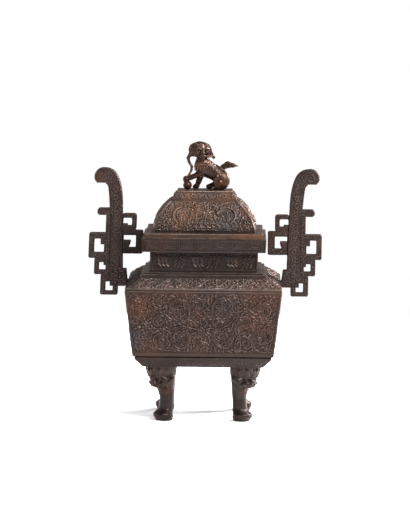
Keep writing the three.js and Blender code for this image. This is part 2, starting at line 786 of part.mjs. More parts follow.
// The lion faces -X and turns its head to -Y. Its soles are at z 0, and x 0 is the middle of the lid.
function lionSolid() {
  const torso = limb(
    [
      { at: [-14, 0, 34], radius: 6.5 },
      { at: [-8, 0, 33], radius: 11, wide: 9 },
      { at: [6, 0, 29.5], radius: 13, wide: 11 },
      { at: [16, 0, 25], radius: 13, wide: 10.5 },
      { at: [26, 0, 18], radius: 11, wide: 10 },
      { at: [34, 0, 13], radius: 5.5 },
    ],
    8,
  );
  const neck = limb(
    [
      { at: [-1, 0, 30], radius: 12.5 },
      { at: [-5.5, -2, 42], radius: 11.5 },
      { at: [-8, -4, 52], radius: 9 },
    ],
    7,
  );
  const haunches = [-7.5, 7.5].map((y) => blob({ at: [25.5, y, 14], size: [10.5, 5.5, 13.4] }));
  const hindLegs = [
    { y: -8.5, foot: 17.5 },
    { y: 8.5, foot: 6.5 },
  ].flatMap(({ y, foot }) => [
    limb([{ at: [24, y, 10], radius: 6 }, { at: [foot + 2, y, 4], radius: 3.6 }], 6),
    blob({ at: [foot, y, 3.6], size: [5.4, 4.4, 3.6], across: 5, up: 3 }),
  ]);
  const foreLegs = [
    limb([
      { at: [0, -5, 26], radius: 6.5 },
      { at: [-11, -7, 22.5], radius: 4.6 },
      { at: [-24, -5, 17.5], radius: 3.4 },
    ]),
    blob({ at: [-27.8, -4.5, 15.4], size: [6.4, 5, 4.8], across: 5, up: 3 }),
    limb([
      { at: [-6, 6, 24], radius: 6 },
      { at: [-10.5, 7, 12], radius: 4 },
      { at: [-14.5, 7, 3.4], radius: 3.2 },
    ]),
    blob({ at: [-17.5, 7, 3.4], size: [5, 4.2, 3.4], across: 5, up: 3 }),
  ];
  const ball = blob({ at: [-26.6, -4, 6.2], size: [6.4, 6.4, 6.2], across: 8, up: 5 });
  const skull = blob({ at: [-8.5, -6, 58.5], size: [13.5, 12, 12.5], across: 9, up: 6 });
  const face = [
    { at: [-4, -17, 53.5], size: [8.4, 6.5, 4.6] },
    { at: [-4, -22, 56.2], size: [3.4, 2.8, 2.6], across: 5, up: 3 },
    { at: [-9.8, -16.6, 60], size: [2.9, 2.9, 2.9], across: 5, up: 3 },
    { at: [0.6, -16.4, 59.7], size: [2.9, 2.9, 2.9], across: 5, up: 3 },
    { at: [-10.2, -16, 64.2], size: [5, 3.6, 2.4], turn: -0.3, across: 5, up: 3 },
    { at: [1, -15.6, 63.8], size: [4.8, 3.6, 2.4], turn: 0.3, across: 5, up: 3 },
    { at: [-3.6, -14.5, 45.5], size: [6, 5, 6], across: 5, up: 4 },
  ].map(blob);
  const curlRing = { count: 6, from: -0.1, to: Math.PI + 0.1, wide: 14.5, tall: 13.5 };
  const curls = Array.from({ length: curlRing.count }, (_, i) => {
    const angle = curlRing.from + ((curlRing.to - curlRing.from) * i) / (curlRing.count - 1);
    return blob({
      at: [-8.5 + curlRing.wide * Math.cos(angle), -8, 57 + curlRing.tall * Math.sin(angle) * 0.88],
      size: [4.6, 5, 4],
      across: 5,
      up: 3,
    });
  });
  const sideLocks = [
    limb([{ at: [-17, -8, 56], radius: 4.4 }, { at: [-27.5, -8, 47], radius: 2 }], 5),
    limb([{ at: [2, -8, 55], radius: 4.6 }, { at: [15, -8, 47.5], radius: 1.8 }], 5),
  ];
  const mane = [0, 1, 2].map((i) =>
    blob({ at: [1 + 4.6 * i, 0, 45 - 5.2 * i], size: [4.6, 7 - i, 4.6], across: 5, up: 3 }),
  );
  const ribbon = limb(
    [
      { at: [-27, -8, 48], radius: 2.4 },
      { at: [-24.5, -8, 42], radius: 2.2 },
      { at: [-19, -8, 35.5], radius: 2.1 },
      { at: [-22, -7, 27.4], radius: 2 },
      { at: [-27, -5, 17], radius: 1.8 },
    ],
    4,
  );
  const tail = limb([
    { at: [23, 0, 27], radius: 3.6, wide: 3.2 },
    { at: [27.5, 0, 34], radius: 3.6, wide: 3 },
    { at: [33, 0, 37.6], radius: 4.8, wide: 2.8 },
    { at: [41.5, 0, 36.6], radius: 2.9, wide: 2 },
    { at: [49.8, 0, 35.5], radius: 0.7, wide: 0.7 },
  ]);
  return unite([
    torso,
    neck,
    ...haunches,
    ...hindLegs,
    ...foreLegs,
    ball,
    skull,
    ...face,
    ...curls,
    ...sideLocks,
    ...mane,
    ribbon,
    tail,
  ]);
}

function bronze(color, roughness) {
  return new THREE.MeshStandardMaterial({ color, roughness, metalness: 0.85 });
}

function piece(name, solid, material, height = 0) {
  const mesh = new THREE.Mesh(geometryOf(solid), material);
  mesh.name = name;
  mesh.position.z = height;
  return mesh;
}

const censer = new THREE.Group();
censer.name = "bronze_censer";
censer.add(
  piece("body", makeBody(), bronze(0x4b3a35, 0.5)),
  piece("base", makeBase(), bronze(0x46383a, 0.45)),
  piece("lid", makeLid(), bronze(0x54423a, 0.5)),
  piece("lion_finial", lionSolid(), bronze(0x5a3f33, 0.4), PLATE_TOP + GAP),
);

[
  { name: "handle_right", turn: 0, lean: 0 },
  { name: "handle_left", turn: Math.PI, lean: 2 },
].forEach(({ name, turn, lean }) => {
  const mesh = piece(name, handleSolid(lean), bronze(0x46393a, 0.5));
  mesh.rotation.z = turn;
  censer.add(mesh);
});

export default censer;
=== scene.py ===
import json
import math
import bpy
import numpy as np
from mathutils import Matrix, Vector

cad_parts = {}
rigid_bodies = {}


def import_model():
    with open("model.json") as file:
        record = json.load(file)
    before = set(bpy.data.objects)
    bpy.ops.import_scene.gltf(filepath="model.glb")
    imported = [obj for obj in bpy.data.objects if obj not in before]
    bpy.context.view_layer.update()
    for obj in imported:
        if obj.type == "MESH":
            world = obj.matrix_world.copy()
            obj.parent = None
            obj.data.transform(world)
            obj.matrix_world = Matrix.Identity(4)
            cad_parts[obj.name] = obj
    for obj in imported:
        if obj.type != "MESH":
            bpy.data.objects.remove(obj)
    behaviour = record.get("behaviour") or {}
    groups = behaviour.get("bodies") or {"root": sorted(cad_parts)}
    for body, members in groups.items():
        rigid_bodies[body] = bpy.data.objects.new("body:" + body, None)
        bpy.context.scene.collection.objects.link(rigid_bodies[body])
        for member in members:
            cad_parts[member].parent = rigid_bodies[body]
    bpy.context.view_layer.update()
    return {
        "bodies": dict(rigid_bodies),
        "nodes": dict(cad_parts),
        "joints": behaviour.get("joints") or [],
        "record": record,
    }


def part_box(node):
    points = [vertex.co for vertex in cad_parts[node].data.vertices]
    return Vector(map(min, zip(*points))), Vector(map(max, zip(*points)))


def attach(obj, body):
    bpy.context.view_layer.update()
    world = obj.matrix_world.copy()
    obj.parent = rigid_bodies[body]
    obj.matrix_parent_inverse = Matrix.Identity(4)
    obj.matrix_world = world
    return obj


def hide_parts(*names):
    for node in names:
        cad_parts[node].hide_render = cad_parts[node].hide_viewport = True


# Bronze censer: cast relief, lion masks, pierced handles and patina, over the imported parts.
# Lengths in the dictionaries are millimetres; meshes are written in metres.

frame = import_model()
print("loaded", len(frame["nodes"]), "cast parts")

mm = 0.001
depthStep = 15.0  # every rectangular section is this much shorter in half depth
outward = {"front": (0, -1), "right": (1, 0), "back": (0, 1), "left": (-1, 0)}
rng = np.random.default_rng(7)


# coloured patches of the front: x, z, radius, strength; red-brown or ochre above 0, blue-grey below
tintPatches = [
    (-99, 172, 14, 0.75), (-101, 128, 14, -0.9), (36, 178, 15, -0.6), (-2, 167, 6, 0.6), (64, 150, 16, 0.3),
    (22, 291, 9, -0.7), (38, 292, 10, -0.9), (66, 316, 12, 0.55), (34, 334, 12, 0.6), (-30, 334, 14, 0.35),
    (-90, 190, 18, 0.35), (-10, 122, 18, 0.3), (-26, 348, 8, 0.5), (24, 356, 12, 0.5), (10, 372, 9, -0.5),
    (-57, 46, 9, 0.8), (-62, 27, 10, -0.7), (62, 48, 9, 0.5), (66, 22, 9, -0.5),
]
# painted shadow on the left handle, where the bronze lies in shade: x, z, radius, share of the light that
# they take
shadowPatches = [(-112, 262, 21, 1.0), (-103, 240, 13, 0.6), (-104, 215, 12, 0.35)]


def tintOf(points):
    # sum over the patches of strength * exp(-(distance / radius)^2), on the front half only
    x, y, z = points.T
    tint = np.zeros(len(points))
    for atX, atZ, radius, strength in tintPatches:
        tint += strength * np.exp(-((x - atX) ** 2 + (z - atZ) ** 2) / radius ** 2) * (y < 0)
    return np.clip(tint, -1, 1)


def shadowShareOf(points):
    # share of light left under the painted shadow: 1 less the sum over the patches of strength *
    # exp(-(distance / radius)^4)
    x, z = points[:, 0], points[:, 2]
    dark = np.zeros(len(points))
    for atX, atZ, radius, strength in shadowPatches:
        dark += strength * np.exp(-(((x - atX) ** 2 + (z - atZ) ** 2) / radius ** 2) ** 2)
    return 1 - np.clip(dark, 0, 1)


def inScene(name, data):
    # an object for this mesh, lamp or camera, at the origin
    thing = bpy.data.objects.new(name, data)
    bpy.context.scene.collection.objects.link(thing)
    return thing


def makePiece(name, node, material, points, faces, relief, sharp=38, tint=0.0):
    # A mesh at the origin in place of a cast node. Relief (0 to 1), painted shade and painted highlight,
    # and tint (-1 to 1) steer the patina; edges that turn by more than sharp degrees stay crisp.
    mesh = bpy.data.meshes.new(name)
    mesh.vertices.add(len(points))
    mesh.vertices.foreach_set("co", (np.asarray(points, np.float32) * mm).ravel())
    loops = np.concatenate([np.asarray(f, np.int32).ravel() for f in faces])
    sizes = np.concatenate([np.full(len(f), np.shape(f)[1], np.int32) for f in faces])
    mesh.loops.add(len(loops))
    mesh.loops.foreach_set("vertex_index", loops)
    mesh.polygons.add(len(sizes))
    mesh.polygons.foreach_set("loop_start", np.concatenate([[0], np.cumsum(sizes)[:-1]]).astype(np.int32))
    mesh.polygons.foreach_set("use_smooth", np.ones(len(sizes), bool))
    mesh.update(calc_edges=True)
    # the relief shade is darkened by the painted shadow patches
    layers = {"relief": np.clip(relief, 0, 1) * shadowShareOf(points), "tint": np.clip(tintOf(points) + tint, -1, 1)}
    for layer, values in layers.items():
        attribute = mesh.attributes.new(layer, "FLOAT", "POINT")
        attribute.data.foreach_set("value", values.astype(np.float32).ravel())
    mesh.set_sharp_from_angle(angle=math.radians(sharp))
    mesh.materials.append(material)
    piece = inScene(name, mesh)
    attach(piece, "root")
    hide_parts(node)
    print("made", name, "with", int((sizes - 2).sum()), "triangles")


def smoothStep(low, high, x):
    # 3t^2 - 2t^3, where t is the share of the way from low to high; low may be the greater of the two
    t = np.clip((x - low) / (high - low), 0, 1)
    return t * t * (3 - 2 * t)


def feed(tree, socket, value):
    # a socket takes a plain value, or a link from another node's output
    if isinstance(value, bpy.types.NodeSocket):
        tree.links.new(value, socket)
    else:
        socket.default_value = value


# noise of the patina: scale over metres, detail, roughness, and a shift that keeps two kinds apart
grain = {
    "mottle": (55, 5, 0.55, None), "crest": (90, 4, 0.55, None), "gloss": (70, 4, 0.55, None),
    "worn": (120, 4, 0.55, (0.7, 0.1, 0.3)), "red": (11, 3, 0.55, (1.3, 0.2, 0.4)),
    "grey": (9, 3, 0.55, (4.1, 2.2, 0.9)), "fine": (900, 4, 0.6, None), "coarse": (260, 3, 0.55, None),
}


def bronze(name, look):
    # colour = dark recess to pale crest by the relief attribute (painted shade and painted highlight),
    # under patches of red and blue-grey
    material = bpy.data.materials.new(name)
    material.use_nodes = True
    tree = material.node_tree
    shader = tree.nodes["Principled BSDF"]
    shader.inputs["Metallic"].default_value = look["metallic"]
    shader.inputs["Specular IOR Level"].default_value = look["specular"]
    shader.inputs["Specular Tint"].default_value = (*look["sheen"], 1)
    coordinates = tree.nodes.new("ShaderNodeTexCoord")

    def layer(attribute):
        # one of the two values that makePiece gives every point
        node = tree.nodes.new("ShaderNodeAttribute")
        node.attribute_name = attribute
        return node.outputs["Fac"]

    def noise(kind):
        # noise over Object coordinates, as grain says
        scale, detail, rough, shift = grain[kind]
        texture = tree.nodes.new("ShaderNodeTexNoise")
        texture.inputs["Scale"].default_value = scale
        texture.inputs["Detail"].default_value = detail
        texture.inputs["Roughness"].default_value = rough
        source = coordinates.outputs["Object"]
        if shift:
            mapping = tree.nodes.new("ShaderNodeMapping")
            mapping.inputs["Location"].default_value = shift
            tree.links.new(source, mapping.inputs["Vector"])
            source = mapping.outputs["Vector"]
        tree.links.new(source, texture.inputs["Vector"])
        return texture.outputs["Fac"]

    def ramp(source, low, high):
        # 0 where the source is at low, 1 where it is at high
        node = tree.nodes.new("ShaderNodeMapRange")
        node.inputs["From Min"].default_value = low
        node.inputs["From Max"].default_value = high
        tree.links.new(source, node.inputs["Value"])
        return node.outputs["Result"]

    def reckon(operation, a, b):
        # a and b are numbers or outputs
        node = tree.nodes.new("ShaderNodeMath")
        node.operation = operation
        feed(tree, node.inputs[0], a)
        feed(tree, node.inputs[1], b)
        return node.outputs["Value"]

    def times(a, b):
        return reckon("MULTIPLY", a, b)

    def plus(a, b):
        return reckon("ADD", a, b)

    def blend(share, below, above):
        # colour = below + share * (above - below)
        node = tree.nodes.new("ShaderNodeMix")
        node.data_type = "RGBA"
        tree.links.new(share, node.inputs["Factor"])
        for socket, value in ((node.inputs["A"], below), (node.inputs["B"], above)):
            feed(tree, socket, (*value, 1) if isinstance(value, tuple) else value)
        return node.outputs["Result"]

    relief, tint = layer("relief"), layer("tint")
    worn = ramp(noise("worn"), 0.3, 0.7)
    colour = blend(ramp(relief, 0.05, 0.75), look["recess"], look["middle"])
    # painted highlight: the crest colour where the relief shade is high, broken up by noise as wear would
    # break it
    crest = times(ramp(relief, 0.62, 1.0), ramp(noise("crest"), 0.3, 0.62))
    colour = blend(times(crest, look["wearAndHighlight"]), colour, look["crest"])
    # a patch is scattered by noise, or laid on by the tint and broken up by wear
    redPatch = times(ramp(noise("red"), 0.53, 0.68), look["redShare"])
    redPatch = plus(redPatch, times(ramp(tint, 0.05, 1.0), plus(times(worn, 0.5), 0.35)))
    colour = blend(redPatch, colour, look["red"])
    greyPatch = times(ramp(noise("grey"), 0.55, 0.7), look["greyShare"])
    greyPatch = plus(greyPatch, times(ramp(tint, -0.05, -1.0), plus(times(worn, 0.4), 0.3)))
    colour = blend(greyPatch, colour, look["grey"])
    colour = blend(times(ramp(noise("mottle"), 0.52, 0.75), 0.45), colour, look["recess"])
    tree.links.new(colour, shader.inputs["Base Color"])
    # roughness = its lowest + spread * noise, and more in the recesses
    rough = plus(times(ramp(noise("gloss"), 0.25, 0.75), look["roughSpread"]), look["roughness"])
    rough = plus(rough, times(ramp(relief, 1.0, 0.2), look["recessRough"]))
    tree.links.new(rough, shader.inputs["Roughness"])
    bump = tree.nodes.new("ShaderNodeBump")
    bump.inputs["Strength"].default_value = look["bump"]
    bump.inputs["Distance"].default_value = look["bumpDepth"]
    tree.links.new(plus(times(noise("fine"), 0.6), noise("coarse")), bump.inputs["Height"])
    tree.links.new(bump.outputs["Normal"], shader.inputs["Normal"])
    return material


patina = {
    "metallic": 0.5, "specular": 0.32, "sheen": (1.0, 0.81, 0.75), "recess": (0.0075, 0.0054, 0.0047),
    "middle": (0.0265, 0.0155, 0.0132), "crest": (0.185, 0.13, 0.107), "wearAndHighlight": 0.85,
    "red": (0.07, 0.024, 0.012), "redShare": 0.35, "grey": (0.024, 0.028, 0.034), "greyShare": 0.35,
    "roughness": 0.25, "roughSpread": 0.2, "recessRough": 0.12, "bump": 0.35, "bumpDepth": 0.0006,
}
looks = {  # what each piece changes in the patina
    "wall": {},
    "neck": {"middle": (0.028, 0.0193, 0.0157), "redShare": 0.2, "greyShare": 0.2},
    "lid": {"middle": (0.041, 0.0265, 0.022), "crest": (0.25, 0.178, 0.145), "red": (0.1, 0.042, 0.018),
            "redShare": 0.4, "greyShare": 0.25},
    "base": {"middle": (0.016, 0.0103, 0.0097), "crest": (0.16, 0.113, 0.095), "roughness": 0.15},
    "plinth": {"middle": (0.0125, 0.008, 0.0075), "crest": (0.15, 0.105, 0.092), "redShare": 0.3,
               "greyShare": 0.2},
    "handles": {"middle": (0.033, 0.0215, 0.019), "crest": (0.115, 0.082, 0.07), "greyShare": 0.3},
    "lion": {"middle": (0.047, 0.02, 0.0115), "crest": (0.225, 0.14, 0.1), "redShare": 0.4, "greyShare": 0.15,
             "roughness": 0.17, "bump": 0.22},
}
metal = {piece: bronze("patina_" + piece, {**patina, **look}) for piece, look in looks.items()}
print("mixed", len(metal), "patinas")


def newArt(width, height, cell=0.4):
    # a drawing of heights from 0 to 1 over a flat panel; u runs from its middle, v from its foot
    us = np.arange(-width / 2, width / 2 + cell, cell)
    vs = np.arange(0, height + cell, cell)
    return {"us": us, "vs": vs, "cell": cell, "field": np.zeros((len(vs), len(us)))}


def stamp(art, path, half, crest=1.0, vein=0.0):
    # height = crest * (1 - (distance / half width)^2)^0.7 round each stretch of the path, kept where highest
    us, vs, field = art["us"], art["vs"], art["field"]
    half = np.broadcast_to(half, len(path))
    for p, q, a, b in zip(path[:-1], path[1:], half[:-1], half[1:]):
        reach = max(a, b)
        i0, i1 = np.searchsorted(us, [min(p[0], q[0]) - reach, max(p[0], q[0]) + reach])
        j0, j1 = np.searchsorted(vs, [min(p[1], q[1]) - reach, max(p[1], q[1]) + reach])
        if i0 >= i1 or j0 >= j1:
            continue
        du = us[None, i0:i1] - p[0]
        dv = vs[j0:j1, None] - p[1]
        eu, ev = q[0] - p[0], q[1] - p[1]
        t = np.clip((du * eu + dv * ev) / max(eu * eu + ev * ev, 1e-9), 0, 1)
        away = np.hypot(du - t * eu, dv - t * ev) / np.maximum(a + (b - a) * t, 0.05)
        rise = crest * np.clip(1 - away ** 2, 0, 1) ** 0.7
        if vein:
            rise *= 1 - vein * np.exp(-((away / 0.3) ** 2))
        window = field[j0:j1, i0:i1]
        np.maximum(window, rise, out=window)


def arcPath(u, v, radius, start, hand, turns, eye, count=26):
    # a spiral: its radius shrinks evenly from radius to eye * radius as it turns
    t = np.linspace(0, 1, count)
    angle = start + hand * turns * 2 * np.pi * t
    reach = radius * (1 - (1 - eye) * t)
    return np.stack([u + reach * np.cos(angle), v + reach * np.sin(angle)], 1)


def curl(art, u, v, radius, start, hand, turns, eye, count, halves):
    # a spiral whose half width runs evenly from the first to the second of halves
    stamp(art, arcPath(u, v, radius, start, hand, turns, eye, count), np.linspace(*halves, count))


def leafPath(u, v, angle, length, bend, count=8):
    # a line whose heading turns evenly by bend along its length
    t = np.linspace(0, 1, count)
    heading = angle + bend * t[:-1]
    steps = np.stack([np.cos(heading), np.sin(heading)], 1) * length / (count - 1)
    return np.array([[u, v]]) + np.concatenate([[[0, 0]], np.cumsum(steps, 0)])


def leafHalf(half, count=8, fat=0.3):
    # half width: swells to its fattest point and tapers to a tip
    t = np.linspace(0, 1, count)
    return half * np.where(t < fat, 0.45 + 0.55 * t / fat, (1 - (t - fat) / (1 - fat)) ** 0.7 + 0.08)


def leaf(art, u, v, angle, length, bend, half, crest=1.0, vein=0.0):
    # one curved leaf: a tapering stamp along a line that turns evenly
    stamp(art, leafPath(u, v, angle, length, bend), leafHalf(half), crest, vein)


def scroll(art, u, v, radius, start, hand, turns, half, barbs):
    # an open C with a second rib inside it, long barbs swept from the rib to the eye, comma leaves outside
    outerRib = arcPath(u, v, radius, start, hand, turns, eye=0.5)
    innerRib = arcPath(u, v, radius - 3.2, start + hand * 0.3, hand, turns - 0.15, eye=0.5)
    stamp(art, outerRib, half * np.linspace(1.1, 0.55, len(outerRib)))
    stamp(art, innerRib, half * np.linspace(0.8, 0.4, len(innerRib)), crest=0.85)
    eyeCurl = arcPath(*outerRib[-1], 0.2 * radius, start + hand * 2.0, hand, turns=0.9, eye=0.3, count=12)
    stamp(art, eyeCurl, 0.85 * half)
    for k in range(barbs):
        angle = start + hand * (0.2 + 2 * math.pi * turns * 0.95 * k / barbs)
        inner = (radius - 4.2) * (1 - 0.4 * k / barbs)
        leaf(art, u + inner * math.cos(angle), v + inner * math.sin(angle), angle + math.pi - hand * 0.75,
             inner * 0.95, bend=hand * 1.5, half=0.95, crest=0.8 + 0.3 * (k % 2))
        outer = radius * (1.14 - 0.3 * k / barbs)
        leaf(art, u + outer * math.cos(angle), v + outer * math.sin(angle), angle + hand * 0.65,
             radius * (0.62 - 0.25 * k / barbs), bend=hand * 1.3, half=1.5, crest=0.95 + 0.2 * (k % 3 == 0),
             vein=0.3)


def lotus(art, u, v, radius, count=15, spread=4.4, half=0.95):
    # thin petals that fan from a small cup, alternately long and short, each with a curved tip
    for k in range(count):
        angle = math.pi / 2 + spread * (k / (count - 1) - 0.5)
        side = math.copysign(1, angle - math.pi / 2)
        reach = radius * (1.0 if k % 2 else 0.78)
        leaf(art, u + 0.22 * radius * math.cos(angle), v + 0.22 * radius * math.sin(angle), angle,
             reach * 0.8, bend=0.5 * side, half=half * (1.25 if k % 2 else 1.0), crest=1.0 if k % 2 else 0.8)
    stamp(art, arcPath(u, v, 0.2 * radius, 0, 1, turns=1, eye=1.0, count=14), half)


def stemLine(art, knots, half=1.1, crest=1.0):
    # one smooth curve through three knots: a parabola of the share along it
    a, b, c = (np.array(k, float) for k in knots)
    t = np.linspace(0, 1, 18)[:, None]
    control = 2 * b - (a + c) / 2
    path = (1 - t) ** 2 * a + 2 * t * (1 - t) * control + t ** 2 * c
    stamp(art, path, half * (1 - 0.4 * np.abs(2 * t[:, 0] - 1)), crest)


def anyWay(u, v):
    # a flow with no direction: each leaf lies by chance
    return rng.uniform(0, 6.28)


def fillGaps(art, flow, pitch, length, half, crest):
    # loose curled leaves laid along flow(u, v), an angle, wherever the ground is still bare
    us, vs, field = art["us"], art["vs"], art["field"]
    for v in np.arange(vs[0] + pitch / 2, vs[-1], pitch):
        for u in np.arange(us[0] + pitch / 2, us[-1], pitch):
            a, b = u + rng.uniform(-0.4, 0.4) * pitch, v + rng.uniform(-0.4, 0.4) * pitch
            i = min(np.searchsorted(us, a), len(us) - 1)
            j = min(np.searchsorted(vs, b), len(vs) - 1)
            if field[j, i] > 0.3:
                continue
            angle = flow(a, b) + rng.normal(0, 0.5)
            hand = rng.choice([-1, 1])
            path = leafPath(a, b, angle, length * rng.uniform(0.75, 1.25), hand * rng.uniform(0.8, 2.2))
            stamp(art, path - (path[4] - path[0]), leafHalf(half * rng.uniform(0.8, 1.15)), crest)


def boxMean(field, reach):
    # mean over a square of cells, from the differences of a running sum along each direction
    for axis in (0, 1):
        pad = [(0, 0), (0, 0)]
        pad[axis] = (reach + 1, reach)
        total = np.moveaxis(np.cumsum(np.pad(field, pad, mode="edge"), axis), axis, 0)
        field = np.moveaxis(total[2 * reach + 1:] - total[:-2 * reach - 1], 0, axis) / (2 * reach + 1)
    return field


def finishArt(art, reach=5, gain=0.95, middle=0.46):
    # heights are softened a little; shade = middle + gain * (height - mean height round it),
    # painted shade beside the raised strokes and painted highlight on them
    f = np.pad(art["field"], 1, mode="edge")
    art["field"] = 0.5 * f[1:-1, 1:-1] + 0.125 * (f[2:, 1:-1] + f[:-2, 1:-1] + f[1:-1, 2:] + f[1:-1, :-2])
    art["shade"] = np.clip(middle + gain * (art["field"] - boxMean(art["field"], reach)), 0, 1)


def readArt(art, u, v, layer="field"):
    # bilinear reading of the heights, or of the shade, at any array of places
    i = np.clip((u - art["us"][0]) / art["cell"], 0, len(art["us"]) - 1.001)
    j = np.clip((v - art["vs"][0]) / art["cell"], 0, len(art["vs"]) - 1.001)
    i0, j0 = i.astype(int), j.astype(int)
    a, b, f = i - i0, j - j0, art[layer]
    return ((1 - a) * (1 - b) * f[j0, i0] + a * (1 - b) * f[j0, i0 + 1]
            + (1 - a) * b * f[j0 + 1, i0] + a * b * f[j0 + 1, i0 + 1])


def roundCorners(points, radius, steps=3):
    # each corner of the profile gives way to a short curve that starts and ends radius from it
    points = np.asarray(points, float)
    made = [points[0]]
    for before, corner, after in zip(points[:-2], points[1:-1], points[2:]):
        a, b = before - corner, after - corner
        a *= min(radius, 0.45 * np.hypot(*a)) / np.hypot(*a)
        b *= min(radius, 0.45 * np.hypot(*b)) / np.hypot(*b)
        t = np.linspace(0, 1, steps + 1)[:, None]
        made.extend((1 - t) ** 2 * (corner + a) + 2 * t * (1 - t) * corner + t ** 2 * (corner + b))
    made.append(points[-1])
    return np.array(made)


def dense(points, spacing):
    # more points along each straight stretch, so that none is longer than spacing
    points = np.asarray(points, float)
    made = []
    for a, b in zip(points[:-1], points[1:]):
        count = max(1, math.ceil(np.hypot(*(b - a)) / spacing))
        made.append(a + (b - a) * np.linspace(0, 1, count, endpoint=False)[:, None])
    return np.concatenate(made + [points[-1:]])


def rectShell(profile, zones, sides, cell, closed, edge=0.35, cornerReach=1.2):
    # The profile, rows of (half width, z), is carried round the sides of a rectangle with mitred corners.
    # A zone is (first row, last row, relief): relief(side, u, v, half length, height) gives how far the
    # surface stands out and its shade. u = share * (half length + corner rounding), and the place is
    # profile + w * normal, where w falls by edge * (1 - distance from the corner / cornerReach)^2.
    profile = np.asarray(profile, float)
    rows = len(profile)
    before, after = profile - np.roll(profile, 1, 0), np.roll(profile, -1, 0) - profile
    around = np.roll(profile, -1, 0) - np.roll(profile, 1, 0)
    if not closed:
        around[0] = profile[1] - profile[0]
        around[-1] = profile[-1] - profile[-2]
    normal = np.stack([around[:, 1], -around[:, 0]], 1) / np.hypot(*around.T)[:, None]
    # plain rows: shade = 0.5 + 0.45 * sine of the profile's turn, a painted highlight on its edges and
    # painted shade in its corners
    turn = before[:, 0] * after[:, 1] - before[:, 1] * after[:, 0]
    turn /= np.hypot(*before.T) * np.hypot(*after.T) + 1e-9
    plainShade = 0.5 + 0.45 * np.clip(1.6 * turn, -1, 1)
    if not closed:
        plainShade[[0, -1]] = 0.5
    blocks, shades = [], []
    for side in sides:
        ox, oy = outward[side]
        inset, trim = (depthStep, 0) if oy else (0, depthStep)
        halfLength = profile[:, :1] - trim
        cols = max(8, math.ceil(2 * halfLength.max() / cell[side]))
        share = np.linspace(-1, 1, cols + 1)[None, :]
        w = np.zeros((rows, cols + 1))
        shade = np.repeat(plainShade[:, None], cols + 1, 1)
        for first, last, relief in zones:
            zone = slice(first, last + 1)
            half = halfLength[zone]
            v = np.concatenate([[0], np.cumsum(np.hypot(*np.diff(profile[zone], axis=0).T))])[:, None]
            u = share * half
            size = u.shape
            rise, tone = relief(side, u, np.broadcast_to(v, size), np.broadcast_to(half, size), v[-1, 0])
            near = np.clip(1 - (1 - np.abs(share)) * half / cornerReach, 0, 1)
            w[zone] = rise - edge * near ** 2
            # painted highlight along the mitred corners
            shade[zone] = np.maximum(tone, 0.95 * near)
        u = share * (halfLength + w[:, :1] * normal[:, :1])
        out = profile[:, :1] - inset + w * normal[:, :1]
        z = profile[:, 1:] + w * normal[:, 1:]
        x = -oy * u + ox * out
        y = ox * u + oy * out
        keep = cols if len(sides) == 4 else cols + 1
        blocks.append(np.stack([x, y, np.broadcast_to(z, x.shape)], -1)[:, :keep])
        shades.append(shade[:, :keep])
    points = np.concatenate(blocks, 1)
    wide = points.shape[1]
    index = np.arange(rows * wide).reshape(rows, wide)
    across = np.concatenate([index, index[:, :1]], 1) if len(sides) == 4 else index
    along = np.concatenate([across, across[:1]], 0) if closed else across
    quads = np.stack([along[:-1, :-1], along[:-1, 1:], along[1:, 1:], along[1:, :-1]], -1).reshape(-1, 4)
    faces = [quads]
    if len(sides) < 4:
        faces += [index[:, 0][None, ::-1], index[:, -1][None, :]]
    if not closed:
        faces += [index[0][None, ::-1], index[-1][None, :]]
    return points.reshape(-1, 3), faces, np.concatenate(shades, 1).ravel()


def trimOf(side):
    # how much shorter the half length of this side is than the profile's half width
    return 0 if outward[side][1] else depthStep


def insideOf(u, v, half, height, ends, foot, top):
    # distance into the field inside a border that is as wide as ends, foot and top say
    return np.minimum.reduce([half - np.abs(u) - ends, v - foot, height - v - top])


wall = {
    "foot": (104.3, 102.2), "top": (115.4, 198.9), "thick": 4.0, "border": (3.5, 6.5, 2.0), "sunk": 0.9,
    "relief": 1.8, "ribHalf": 1.75, "depthLimit": 100.35,  # border: at the ends, the foot and the top
    "cell": {"front": 0.64, "back": 0.9, "right": 0.85, "left": 0.85},
}
# main scrolls of the front: across and up in shares of the panel, radius, start angle, hand, turns, barbs
frontScrolls = [
    (0.30, 0.76, 20, 3.5, -1, 0.62, 11), (0.31, 0.28, 18, 2.6, 1, 0.62, 11),
    (-0.36, 0.74, 19, -0.4, 1, 0.62, 11), (-0.33, 0.26, 17, 0.5, -1, 0.6, 10),
    (0.84, 0.76, 14, 4.2, 1, 0.58, 8), (0.60, 0.20, 10.5, 1.6, -1, 0.58, 7),
    (0.86, 0.30, 14, 1.9, -1, 0.58, 8), (0.58, 0.52, 12, 2.2, -1, 0.58, 7),
    (-0.88, 0.70, 13.5, -1.0, -1, 0.58, 8), (-0.60, 0.24, 12, 1.4, 1, 0.58, 7),
    (-0.87, 0.28, 13, 1.3, 1, 0.58, 8), (-0.62, 0.54, 11, 0.9, 1, 0.58, 7),
]
plainScrolls = [s for s in frontScrolls if s[0] > 0]
wallStems = [  # three knots each, in shares of the panel
    [(-0.16, 0.8), (-0.02, 0.62), (0.14, 0.43)], [(0.14, 0.43), (0.34, 0.5), (0.44, 0.66)],
    [(-0.1, 0.42), (-0.3, 0.47), (-0.46, 0.4)], [(0.1, 0.16), (-0.02, 0.24), (-0.2, 0.2)],
    [(0.5, 0.92), (0.6, 0.78), (0.72, 0.66)], [(-0.62, 0.9), (-0.74, 0.82), (-0.78, 0.6)],
    [(0.44, 0.12), (0.5, 0.34), (0.7, 0.42)], [(-0.5, 0.12), (-0.46, 0.36), (-0.66, 0.44)],
]
wallHeight = math.hypot(wall["top"][0] - wall["foot"][0], wall["top"][1] - wall["foot"][1])


